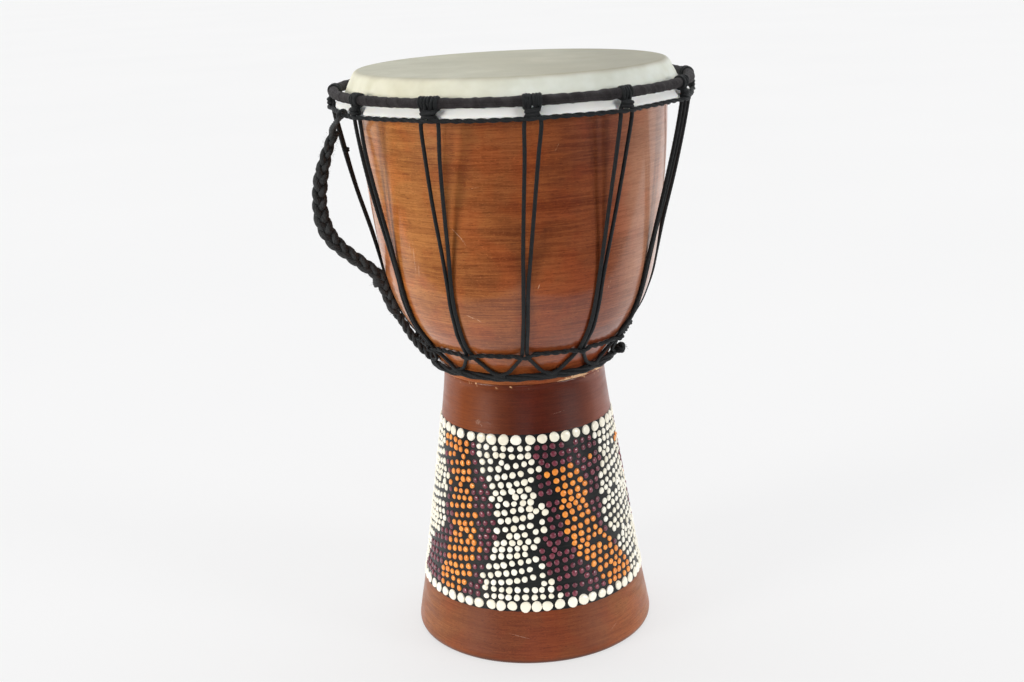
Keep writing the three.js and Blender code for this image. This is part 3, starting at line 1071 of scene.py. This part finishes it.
def inner_places(rng, taken):
    """
    Centres of the small dots: two rows that follow each border, and between them rows that climb
    a little to the right, as a right hand paints them.
    """
    rows_per_turn = 13
    row_gap = 5.1
    low, high = BORDER_ROWS[1][0] + 6.0, BORDER_ROWS[0][0] - 6.0
    candidates = []
    for z in (high, low, high - row_gap, low + row_gap):
        count = int(TAU * outer_radius(FOOT, z) / 5.7)
        candidates.append([(z, 360 * i / count + rng.uniform(-0.5, 0.5)) for i in range(count)])
    rise = rows_per_turn * row_gap / 360
    first = int((low - rows_per_turn * row_gap) / row_gap)
    for row in range(first, int(high / row_gap) + 1):
        azimuth, line = rng.uniform(0, 4), []
        while azimuth < 360:
            z = row * row_gap + rise * azimuth + 1.1 * math.sin(math.radians(azimuth * 3) + row)
            line.append((z, azimuth))
            radius = outer_radius(FOOT, min(max(z, 10), 170))
            azimuth += math.degrees(5.5 * rng.uniform(0.92, 1.12) / radius)
        candidates.append(line)
    grid, cell_height, cell_deg, dot_r = {}, 8, 9, 2.15

    def cell(z, azimuth):
        return int(z // cell_height), int(azimuth % 360 // cell_deg)

    def clear(z, azimuth, need):
        row, column = cell(z, azimuth)
        foot_r = outer_radius(FOOT, z)
        for dz in (-1, 0, 1):
            for da in (-1, 0, 1):
                for z2, a2, r2 in grid.get((row + dz, (column + da) % (360 // cell_deg)), []):
                    turn = (azimuth - a2 + 180) % 360 - 180
                    across = math.radians(turn) * foot_r
                    if math.hypot(across, z - z2) < need + r2:
                        return False
        return True

    def take(z, azimuth, radius):
        grid.setdefault(cell(z, azimuth), []).append((z, azimuth, radius))

    for azimuth, z, radius in taken:
        take(z, azimuth, radius)
    found = []
    for line in candidates:
        for z, azimuth in line:
            z += rng.uniform(-0.4, 0.4)
            close = 1.6 if rng.random() < 0.10 else 2.2
            if low - 0.6 <= z <= high + 0.6 and clear(z, azimuth, close):
                take(z, azimuth, dot_r)
                found.append((azimuth, z))
    # single dots close the bare patches where rows run into each other
    spots = [(z, a) for z in np.arange(low, high, 1.1) for a in range(360)]
    rng.shuffle(spots)
    for z, azimuth in spots:
        if clear(z, azimuth, 2.4):
            take(z, azimuth, dot_r)
            found.append((azimuth, z))
    return found


def make_dots():
    rng = random.Random(29)
    looks = {
        colour: (colour + "_dots", dot_paint(colour + "_paint", dark, light, rough))
        for colour, dark, light, rough in (
            ("cream", (0.84, 0.79, 0.64), (0.93, 0.90, 0.80), 0.42),
            ("orange", (0.76, 0.225, 0.014), (0.90, 0.315, 0.030), 0.38),
            ("maroon", (0.105, 0.010, 0.025), (0.195, 0.024, 0.046), 0.30),
        )
    }
    border = Soup()
    taken = border_dots(rng, border)
    finish_piece(border.piece("border_dots"), looks["cream"][1])
    soups = {colour: Soup() for colour in looks}
    for azimuth, z in inner_places(rng, taken):
        colour = band_at(azimuth, z)
        size = DOT_SIZES[colour] * rng.uniform(0.88, 1.10)
        add_dot(soups[colour], azimuth, z, size, rng)
    for colour, (name, material) in looks.items():
        finish_piece(soups[colour].piece(name), material)


make_dots()

# ---- goatskin head ----------------------------------------------------------------------------
HOOP_R, HOOP_Z = ring_place("flesh_hoop", HOOP_WIRE_R)
CROWN_R, CROWN_Z = ring_place("crown_ring_wrap", CROWN_WRAP_R)
KEEPER_RING_R, KEEPER_Z = ring_place("keeper_cord", KEEPER_CORD_R)
BOTTOM_RING_R, BOTTOM_RING_Z = ring_place("bottom_ring_cord", BUNDLE_R)


def azimuth_gap(azimuth, centres):
    """Degrees from each azimuth to the nearest of some centres."""
    gaps = [np.abs((np.asarray(azimuth) - c + 180) % 360 - 180) for c in centres]
    return np.min(gaps, axis=0)


def head_relief(r, z, azimuth):
    """Gathers in the collar, and hollows where the hitches squeeze the hem."""
    a = np.radians(azimuth)
    gather = np.sin(a * 43 + 1.7 * np.sin(a * 5)) + 0.6 * np.sin(a * 71 + 2.1 * np.sin(a * 3 + 1))
    collar = np.clip((r - 104) / 8, 0, 1) * np.clip((r - 60) / 40, 0, 1)
    slow = np.sin(a * 7 + 0.6) + np.sin(a * 12 + 2)
    pairs = [top for top, _ in PAIRS_DEG]
    squeeze = np.exp(-((azimuth_gap(azimuth, pairs) / 3.0) ** 2))
    low = np.clip((390 - z) / 8, 0, 1) * np.clip((r - 108) / 3, 0, 1)
    return collar * (0.16 * gather + 0.12 * slow) - 0.55 * squeeze * low


def make_head():
    """The skin: a flat disc, a flared collar and a plump hem folded round the flesh hoop."""
    hem = HOOP_WIRE_R + GAP
    outside = [
        (0, 400), (30, 400), (60, 400), (85, 400), (97, 400), (101.2, 399.9), (103.6, 399.2),
        (105.1, 397.6), (106.7, 394.7), (108.8, 390.8), (110.4, 387.2), (112.6, 384.2),
        (115.6, 382.0),
    ]

    def arc(radius, start, end, count):
        angles = np.radians(np.linspace(start, end, count))
        return [(HOOP_R + radius * math.cos(a), HOOP_Z + radius * math.sin(a)) for a in angles]

    folded = arc(hem + SKIN + 0.05, 55, -150, 14) + arc(hem, -160, 140, 18)
    inside = [(109.8, 386.6), (108, 390.5), (104.5, 397.1), (102.6, 399.2), (96, 399.2)]
    inside += [(60, 399.2), (0, 399.2)]
    line = catmull_rom(np.array(outside + folded + inside), 1.25)
    segments = 520
    points = turned(line, segments, head_relief_outside(line), closed=False)
    faces = grid_faces(len(line) - 2, segments, start=1)
    body = points[1:-1].reshape(-1, 3)
    vertices = np.vstack([points[0, :1], body, points[-1, :1]])
    bottom = len(vertices) - 1
    last = 1 + (len(line) - 3) * segments
    faces += [[0, 1 + (j + 1) % segments, 1 + j] for j in range(segments)]
    faces += [[bottom, last + j, last + (j + 1) % segments] for j in range(segments)]
    faces = [face[::-1] for face in faces]
    head = mesh_piece("goatskin_head", vertices, faces)
    finish_piece(head, goatskin(), replaces=["drum_head"])
    return head


def outer_count(line):
    """How many points of the head's outline lie on its outer face: up to the hem's inner end."""
    lowest = int(np.argmin(line[:, 1]))
    return lowest + 3


def head_relief_outside(line):
    """Only the outer face is pushed; the inner one stays true to the hoop and the bearing edge."""
    count = outer_count(line)
    fade = np.ones(len(line))
    fade[count:] = 0
    fade[count - 4 : count] = np.linspace(1, 0, 4)

    def relief(r, z, azimuth):
        return -head_relief(r, z, azimuth) * fade[:, None]

    return relief


make_head()


# ---- crown ring and its cloth -----------------------------------------------------------------
def make_crown_cloth():
    """A long strip wound on the ring: each turn laps the last one and pulls its own wrinkles."""
    segments, sides, windings = 1500, 26, 84
    rng = random.Random(7)
    a = np.arange(segments)[:, None] / segments
    b = np.arange(sides)[None] / sides
    slant = (a * windings + b) % 1.0
    lap = np.where(slant < 0.86, slant / 0.86, (1 - slant) / 0.14)
    phases = [(rng.randint(60, 240), rng.uniform(0, TAU)) for _ in range(6)]
    crumple = sum(np.sin(TAU * (a * n + b * 2) + p) for n, p in phases) / 6
    ends = [0.08, 0.41, 0.77]  # where a strip ends and the next one starts, thicker over the join
    join = sum(np.exp(-((((a - e + 0.5) % 1 - 0.5) * 360 / 2.6) ** 2)) for e in ends)
    uneven = np.sin(TAU * (23 * a + 0.4 * np.sin(TAU * 5 * a))) + np.sin(TAU * (37 * a + 0.3 * b))
    radius = CROWN_WRAP_R * (0.90 + 0.10 * lap + 0.055 * crumple + 0.022 * uneven + 0.12 * join)
    r = CROWN_R + radius * np.cos(TAU * b)
    z = CROWN_Z + radius * np.sin(TAU * b)
    points = polar(r, 360 * a + 0 * b, z)
    made = mesh_piece(
        "crown_cloth",
        points.reshape(-1, 3),
        [face[::-1] for face in grid_faces(segments, sides, wrap_rows=True)],
        {
            "along": np.repeat(a[:, 0] * TAU * CROWN_R * MM, sides),
            "around": np.tile(b[0], segments),
            "edge": lap.reshape(-1),
        },
    )
    return finish_piece(made, ring_cloth(), replaces=["crown_ring_wrap"])


make_crown_cloth()


# ---- tension cords ----------------------------------------------------------------------------
def round_ring(ring, reach, turn, azimuth, sideways=0.0):
    """A place near a level ring of (radius, height), turned from the ring's front over its top."""
    a = math.radians(turn)
    return polar(ring[0] + reach * math.cos(a), azimuth, ring[1] + reach * math.sin(a), sideways)


def strand_route(top_deg, foot_deg, side, spread_top):
    """One strand, from the bottom ring up to the hitch on the crown ring."""
    lift_off = 268  # where the strands leave the bowl's surface
    channel = HOOP_R + HOOP_WIRE_R + GAP + SKIN + 0.5 + CORD_R

    def along(z):
        tall = STRAND_TOP_Z - WEAVE_SURFACE_Z
        return foot_deg + (top_deg - foot_deg) * (z - WEAVE_SURFACE_Z) / tall

    stations = []
    bottom = (BOTTOM_RING_R, BOTTOM_RING_Z)
    for turn, spread, sunk in ((42, 18.6, 2.6), (50, 15.8, 1.5), (61, 13.2, 0.7), (75, 10.8, 0.2)):
        hook = BUNDLE_R + CORD_R - sunk
        stations.append(round_ring(bottom, hook, turn, foot_deg + side * spread))
    for z, spread in ((204.8, 8.6), (207.8, 6.4), (211.2, 4.1), (214.4, 2.2)):
        stations.append(polar(on_bowl(z, CORD_R), foot_deg + side * spread, z))
    for z in (218.5, 222, 227, 233, 241, 253, lift_off):
        stations.append(polar(on_bowl(z, CORD_R), along(z), z, side * 1.5))
    lift_r = on_bowl(lift_off, CORD_R)
    # the two strands part as they rise, and bow out a little from the straight line
    for share in (0.2, 0.5, 0.8, 1):
        z = lift_off + share * (STRAND_TOP_Z - lift_off)
        bow = 1.5 * math.sin(math.pi * share**1.6)
        apart = 1.5 + share * (spread_top - 1.5)
        stations.append(polar(lift_r + share * (channel - lift_r) + bow, along(z), z, side * apart))
    stations.append(polar(channel + 0.1, top_deg, KEEPER_Z + 0.3, side * max(0.93 * spread_top, 3)))
    stations.append(polar(channel + 0.1, top_deg, KEEPER_Z + 3.4, side * 2.7))
    return stations


HITCH_SINK = 1.35  # how far the tight turns of a hitch press into the ring's cloth
# Sideways places of the turns of each half: three pairs have a third turn.
TWO_TURNS = [(1.2, 3.2)]
HITCH_TURNS = [(1.2, 3.1, 4.6), *TWO_TURNS * 4, (1.2, 3.3, 5.0), *TWO_TURNS * 5, (1.2, 3.4, 5.5)]


def hitch_route(top_deg, side, places):
    """
    The strand's turns over the crown ring, from the middle outwards, and then its way under the
    ring to the middle, where the cord crosses in front and binds the hitch.
    """
    wrap = CROWN_WRAP_R + CORD_R - HITCH_SINK
    stations = []

    def at(turn, apart, over=0.0):
        stations.append(round_ring((CROWN_R, CROWN_Z), wrap + over, turn, top_deg, side * apart))

    # the turn is counted from the front of the ring, over its top
    for k, apart in enumerate(places):
        for turn in (-30, 10, 50, 90, 135, 180)[min(k, 1) :]:
            at(360 * k + turn, apart)
        if k < len(places) - 1:
            onward = places[k + 1] - apart
            for turn, share in ((225, 0.15), (270, 0.5), (315, 0.85)):
                at(360 * k + turn, apart + share * onward)
    last = 360 * (len(places) - 1)
    way_in = ((225, 0, 0), (262, 0, 0.1), (280, 0.5, 0.6), (292, 1.7, 1.6), (300, 3.5, 2.4))
    for turn, inward, over in way_in:
        at(last + turn, places[-1] - inward * places[-1] / 5.6, over)
    return stations


def throat_wraps(top_deg, places, rng):
    """The turns of cord that bind the two strands together between the ring and the keeper cord."""
    widest = places[-1]
    for rise, half_width in ((2.4, 3.1), (4.6, 2.2 + 0.36 * widest)):
        tilt = rng.uniform(-0.14, 0.14)
        points = []
        for a in np.arange(0, TAU, TAU / 24):
            apart = half_width * math.sin(a)
            radius = HOOP_R + 6.0 + 1.7 * math.cos(a)
            points.append(polar(radius, top_deg, KEEPER_Z + rise + tilt * apart, apart))
        yield catmull_rom(points, KNOT_STEP, closed=True)


def make_lacing():
    for i, (top_deg, foot_deg) in enumerate(PAIRS_DEG):
        rng = random.Random(100 + i)
        steady = 7  # the first stations lie on the ring and the bowl, and stay where they are
        halves = []
        for side in (-1, 1):
            stations = strand_route(top_deg, foot_deg, side, PAIR_SPREAD[i])
            stations += hitch_route(top_deg, side, HITCH_TURNS[i])
            loose = [p + jitter(rng, 0.16) for p in stations[steady:]]
            halves.append(stations[:steady] + loose)
        reach = CROWN_WRAP_R + CORD_R - HITCH_SINK + 2.6
        nose = round_ring((CROWN_R, CROWN_Z), reach, -55, top_deg)
        route = np.array([*halves[0], nose, *halves[1][::-1]])
        path = catmull_rom(route, CORD_STEP)
        soup = Soup()
        add_tube(soup, path, CORD_R * MM, 12, False, CORD_LAY, tone=rng.random())
        for wrap in throat_wraps(top_deg, HITCH_TURNS[i], rng):
            add_tube(soup, wrap, CORD_R * MM, 12, True, CORD_LAY, tone=rng.random())
        fuzz_along(soup, path, CORD_R * MM, 130, 0.0012, rng)
        number = f"{i + 1:02d}"
        cord_piece(soup, f"lacing_{number}", [f"tension_cord_{number}"], CORD)


make_lacing()


# ---- ring cords -------------------------------------------------------------------------------
def riding(azimuth, crossings, reach):
    """1 where a cord rides over a crossing, easing to 0 at reach degrees from it."""
    away = float(azimuth_gap(azimuth, crossings))
    return 0.5 + 0.5 * math.cos(math.pi * min(away / reach, 1))


def keeper_place(azimuth):
    """The keeper cord hugs the hem between the hitches and rides out over each pair."""
    on_hem, over_pairs = 119.3, KEEPER_RING_R - 0.4
    out = riding(azimuth, [top for top, _ in PAIRS_DEG] + [HANDLE_LOOP_DEG], 7.5)
    radius = on_hem + (over_pairs - on_hem) * out
    return polar(radius, azimuth, KEEPER_Z - 0.1 + 0.2 * math.sin(math.radians(azimuth) * 9))


def weave_place(azimuth):
    """The two-ply cord round the lower bowl crosses over each pair of strands."""
    tilt = math.atan(outer_slope(BOWL, WEAVE_SURFACE_Z))
    out = riding(azimuth, [foot for _, foot in PAIRS_DEG] + [HANDLE_DEG], 6.2)
    lift = WEAVE_CORD_R + 0.1 + (2 * CORD_R - 0.1) * out
    a = math.radians(azimuth)
    sway = 0.5 * math.sin(a * 5 + 0.4) + 0.3 * math.sin(a * 13)
    sway -= 1.9 * math.exp(-((float(azimuth_gap(azimuth, [-58])) / 24) ** 2))
    z = WEAVE_SURFACE_Z + sway
    return polar(outer_radius(BOWL, z) + lift * math.cos(tilt), azimuth, z - lift * math.sin(tilt))


def bundle_place(azimuth):
    """Four turns of cord, twisted into a loose bundle, lie round the bowl's lip."""
    a = math.radians(azimuth)
    wander = 0.25 * math.sin(a * 7) + 0.15 * math.sin(a * 17 + 1)
    return polar(BOTTOM_RING_R + 0.2 * math.sin(a * 4), azimuth, BOTTOM_RING_Z + wander)


def ring_cord(name, node, seed, place, rope, sides, fuzz):
    """A closed rope: rope is its strands, their radius, the helix's and its pitch."""
    rng = random.Random(seed)
    path = catmull_rom([place(a) for a in np.arange(0, 360, 1.0)], CORD_STEP, closed=True)
    soup = Soup()
    add_rope(soup, path, *rope, rng, closed=True, sides=sides)
    fuzz_along(soup, path, *fuzz, rng)
    cord_piece(soup, name, [node], CORD)


# name, CAD node, seed, centre line, rope, its sides, and its fuzz's radius, count and length
for ring in (
    ("keeper_ring", "keeper_cord", 41, keeper_place,
     (2, 0.00098, 0.00062, 0.0150), 9, (0.0013, 300, 0.0013)),
    ("weave_ring", "weave_cord", 43, weave_place,
     (2, 0.00102, 0.00064, 0.0130), 9, (0.0015, 280, 0.0015)),
    ("bottom_ring", "bottom_ring_cord", 47, bundle_place,
     (4, 0.00118, 0.00140, 0.0620), 10, (0.0023, 240, 0.0016)),
):
    ring_cord(*ring)


# ---- knots, ties and tails --------------------------------------------------------------------
def local_axes(azimuth, tilt=0.0):
    """Unit vectors out, sideways and up at an azimuth; tilt leans the last two in degrees."""
    out = polar(1000, azimuth, 0)
    level = polar(0, azimuth, 0, 1000)
    t = math.radians(tilt)
    side = level * math.cos(t) + np.array([0, 0, math.sin(t)])
    up = -level * math.sin(t) + np.array([0, 0, math.cos(t)])
    return out, side, up


def overhand(centre, azimuth, half, tilt=0.0):
    """A trefoil route, as a pulled overhand knot, stretched to the given half sizes in mm."""
    out, side, up = local_axes(azimuth, tilt)
    t = np.linspace(0, TAU, 60, endpoint=False)
    x = (np.sin(t) + 2 * np.sin(2 * t)) / 3
    y = (np.cos(t) - 2 * np.cos(2 * t)) / 3
    z = -np.sin(3 * t)
    points = np.outer(x * half[1], side) + np.outer(y * half[2], up) + np.outer(z * half[0], out)
    return centre + points * MM


def coil(centre, axes, turns, widths, start, rise, steps, swell=None):
    """A coil of cord: it turns from the first axis to the second and climbs along the third."""
    t = np.linspace(0, 1, steps)
    turn = TAU * turns * t
    size = swell(t) if swell else 1
    return centre + MM * (
        np.outer(np.cos(turn) * widths[0] * size, axes[0])
        + np.outer(np.sin(turn) * widths[1] * size, axes[1])
        + np.outer(start + rise * t, axes[2])
    )


def make_end_knot():
    """The lacing's end: a pulled knot on the bottom ring and its frayed tail."""
    rng = random.Random(53)
    low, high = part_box("bottom_end_knot")
    centre = np.array((low + high) / 2)
    soup = Soup()
    azimuth = 77
    loops = ((0, (1.9, 3.4, 2.5), 20, 0.00145), (0.4, (1.5, 2.6, 3.1), 75, 0.00120))
    for out, half, tilt, radius in loops:
        route = overhand(centre + polar(out, azimuth, 0), azimuth, half, tilt)
        add_tube(soup, catmull_rom(route, KNOT_STEP, closed=True), radius, 12, True, CORD_LAY)
    out, side, up = local_axes(azimuth)
    end = centre + (side * 4.0 + up * 0.5) * MM
    tail = np.array([centre, end, end + (out * 0.8 + side * 1.8 - up * 1.0) * MM])
    add_tube(soup, catmull_rom(tail, KNOT_STEP), 0.0013, 10, False, CORD_LAY, tone=0.8)
    aim = side * 0.9 - up * 0.35 + out * 0.3
    add_brush(soup, tail[-1], 0.6, 110, aim, 0.0030, rng, 0.00008)
    stub = centre + (up * 3.2 - side * 1.4) * MM
    add_brush(soup, stub, 0.4, 40, up + out * 0.4, 0.0024, rng, 0.00007)
    cord_piece(soup, "end_knot", ["bottom_end_knot"], CORD)


def make_top_loop():
    """The doubled cord that hangs the braid from the keeper cord, seized round the braid's head."""
    rng = random.Random(59)
    stations = [
        (120.2, -81.9, 359.4), (120.2, -80.6, 362.6), (120.1, -76.0, 367.0), (119.7, -70.6, 371.6),
        (119.3, -66, 375.0), (119.4, -63, 377.2), (120.4, -62, 378.7), (122.8, -61.4, 379.3),
        (125.0, -61, 378.2), (125.6, -61.2, 376.0), (125.0, -63, 373.5), (123.8, -67.3, 370.2),
        (122.9, -73.2, 366.2), (122.2, -79, 362.0), (121.6, -81.8, 358.6),
    ]
    route = np.array([polar(*s) for s in stations])
    soup = Soup()
    add_rope(soup, catmull_rom(route, KNOT_STEP), 2, 0.00098, 0.00070, 0.0125, rng)
    # seizing: a few turns round the braid's head
    head = in_handle_plane([BRAID_ROUTE[0]])[0]
    down = unit(in_handle_plane([BRAID_ROUTE[1]])[0] - head)
    side, up = carried_frames(np.array([head - down * 0.002, head, head + down * 0.002]))
    axes = (side[1], up[1], down)
    turns = coil(head, axes, 2.4, (2.5, 2.5), -1.2, 4.0, 90, lambda t: 1 + 0.12 * np.sin(TAU * t))
    add_tube(soup, catmull_rom(turns, KNOT_STEP), 0.00090, 10, False, CORD_LAY, 0.001, 0.5)
    fuzz_along(soup, turns, 0.0009, 60, 0.0014, rng, 0.00007)
    cord_piece(soup, "handle_hanger", ["handle_top_loop"], PLAIT)


def bowl_line(heights, rest):
    """A route down the bowl in the handle's plane, resting at a distance from its surface."""
    return in_handle_plane([(on_bowl(z, rest), z) for z in heights])


def make_lower_tie():
    """Cord wound round the foot of the braid and the pair beside it."""
    rng = random.Random(61)
    low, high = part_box("handle_lower_tie")
    centre = np.array((low + high) / 2)
    out, side, up = local_axes(HANDLE_DEG - 1.4, 14)
    soup = Soup()
    axes, ends = (out, side, up), 0.16  # how much slimmer the coil is at its two ends
    turns = coil(
        centre, axes, 4.2, (3.2, 5.2), -2.8, 5.6, 160, lambda t: 1 - ends * (2 * t - 1) ** 2
    )
    add_tube(soup, catmull_rom(turns, KNOT_STEP), 0.00125, 10, False, CORD_LAY, 0.001, 0.4)
    core = np.array([centre + up * k * MM for k in (-3.0, -1.0, 1.0, 3.0)])
    add_rope(soup, catmull_rom(core, KNOT_STEP), 4, 0.0014, 0.0017, 0.014, rng, taper=0.001)
    fuzz_along(soup, turns, 0.0011, 90, 0.0020, rng, 0.00007)
    cord_piece(soup, "handle_lower_knot", ["handle_lower_tie"], PLAIT)


def make_tail():
    """The plaited tail that lies down the bowl below the tie."""
    rng = random.Random(67)
    path = catmull_rom(bowl_line([258, 253, 248, 243, 238, 234.5], 3.9), CORD_STEP)
    soup = Soup()
    add_plait(soup, path, 0.0021, 0.0016, 0.0215, 0.00200, rng)
    fuzz_along(soup, path, 0.0038, 160, 0.0014, rng)
    cord_piece(soup, "handle_tail_plait", ["handle_tail"], PLAIT)
    # below the plait, the cords twist on down over the weave cord to the bottom ring
    stations = [
        (88.4, 237.4), (86.6, 232.8), (83.8, 228.2), (80.4, 222.0), (76.9, 216.0), (72.9, 210.0),
        (69.5, 206.0), (66.8, 203.0), (64.6, 201.0),
    ]
    path = catmull_rom(in_handle_plane(stations), CORD_STEP)
    soup = Soup()
    add_rope(soup, path, 3, 0.00150, 0.00155, 0.019, rng, sides=14, taper=0.001)
    fuzz_along(soup, path, 0.0029, 110, 0.0014, rng)
    cord_piece(soup, "handle_tail_twist", ["handle_tail_cords"], PLAIT)


def make_tuft():
    """A frayed stub of cord on the leftmost pair."""
    rng = random.Random(71)
    top_deg, foot_deg = PAIRS_DEG[9]
    z = 347.5
    share = (z - WEAVE_SURFACE_Z) / (STRAND_TOP_Z - WEAVE_SURFACE_Z)
    at = polar(113.2, foot_deg + (top_deg - foot_deg) * share, z, 3.4)
    out, side, up = local_axes(foot_deg)
    soup = Soup()
    turns = coil(at, (out, side, up), 2.1, (1.75, 1.75), -1.5, 3.0, 50)
    add_tube(soup, catmull_rom(turns, KNOT_STEP), 0.0006, 8, False, None, 0.0006, 0.6)
    add_brush(soup, at, 0.5, 46, side * 0.6 + out * 0.7, 0.0028, rng, 0.00007)
    cord_piece(soup, "cord_tuft", [], CORD)


make_end_knot()
make_top_loop()
make_lower_tie()
make_tail()
make_tuft()

# ---- CAD rings that stay ----------------------------------------------------------------------
STEEL = drawn_steel()
for node in ("flesh_hoop", "crown_ring_core"):
    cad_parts[node].data.materials.clear()
    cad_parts[node].data.materials.append(STEEL)


# ---- studio -----------------------------------------------------------------------------------
def make_floor():
    """A pale floor out to the horizon."""
    half = 40.0
    corners = [(-half, -half, 0), (half, -half, 0), (half, half, 0), (-half, half, 0)]
    floor = mesh_piece("floor", corners, [[0, 1, 2, 3]])
    floor.data.materials.append(studio_floor())
    floor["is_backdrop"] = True


def make_surround():
    """A dim room with a bright wall behind the drum and a soft light over it."""
    world = bpy.data.worlds.new("studio")
    world.use_nodes = True
    bpy.context.scene.world = world
    tree = world.node_tree
    background = tree.nodes["Background"]
    background.inputs["Color"].default_value = (0.97, 0.985, 1.0, 1)
    coordinate = tree.nodes.new("ShaderNodeTexCoord")
    split = tree.nodes.new("ShaderNodeSeparateXYZ")
    tree.links.new(coordinate.outputs["Generated"], split.inputs[0])
    brighter = tree.nodes.new("ShaderNodeMath")
    brighter.operation = "MAXIMUM"
    tree.links.new(brighter.outputs[0], background.inputs["Strength"])
    # each light: its axis, the two directions that it fades between, and the strengths there
    lights = (("Y", 0.14, 0.22, 0.05, 1.3), ("Z", 0.50, 0.85, 0.0, 1.0))
    for k, (axis, *numbers) in enumerate(lights):
        fade = tree.nodes.new("ShaderNodeMapRange")
        fade.interpolation_type = "SMOOTHSTEP"
        for index, value in enumerate(numbers, 1):
            fade.inputs[index].default_value = value
        tree.links.new(split.outputs[axis], fade.inputs[0])
        tree.links.new(fade.outputs[0], brighter.inputs[k])


def make_lamps():
    """Soft lamps in front: each has an azimuth and a height in degrees, a power and a colour."""
    for name, degrees, height_deg, power, colour in (
        ("lamp_left", -58, 6, 2.6, (1.0, 0.965, 0.91)),
        ("lamp_right", 62, 7, 1.8, (1.0, 0.985, 0.975)),
        ("lamp_front", -4, 3, 0.5, (1.0, 1.0, 1.0)),
    ):
        data = bpy.data.lights.new(name, "SUN")
        data.energy = power
        data.angle = math.radians(22)
        data.color = colour
        lamp = bpy.data.objects.new(name, data)
        a, rise = math.radians(degrees), math.radians(height_deg)
        aim = Vector((math.sin(a) * math.cos(rise), -math.cos(a) * math.cos(rise), math.sin(rise)))
        lamp.rotation_mode = "QUATERNION"
        lamp.rotation_quaternion = aim.to_track_quat("Z", "Y")
        bpy.context.scene.collection.objects.link(lamp)


make_floor()
make_surround()
make_lamps()
bpy.context.scene.view_settings.view_transform = "Standard"

visual_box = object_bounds()
boxes = {"cad": CAD_BOX, "visual": visual_box}
{key: [list(corner) for corner in box] for key, box in boxes.items()}
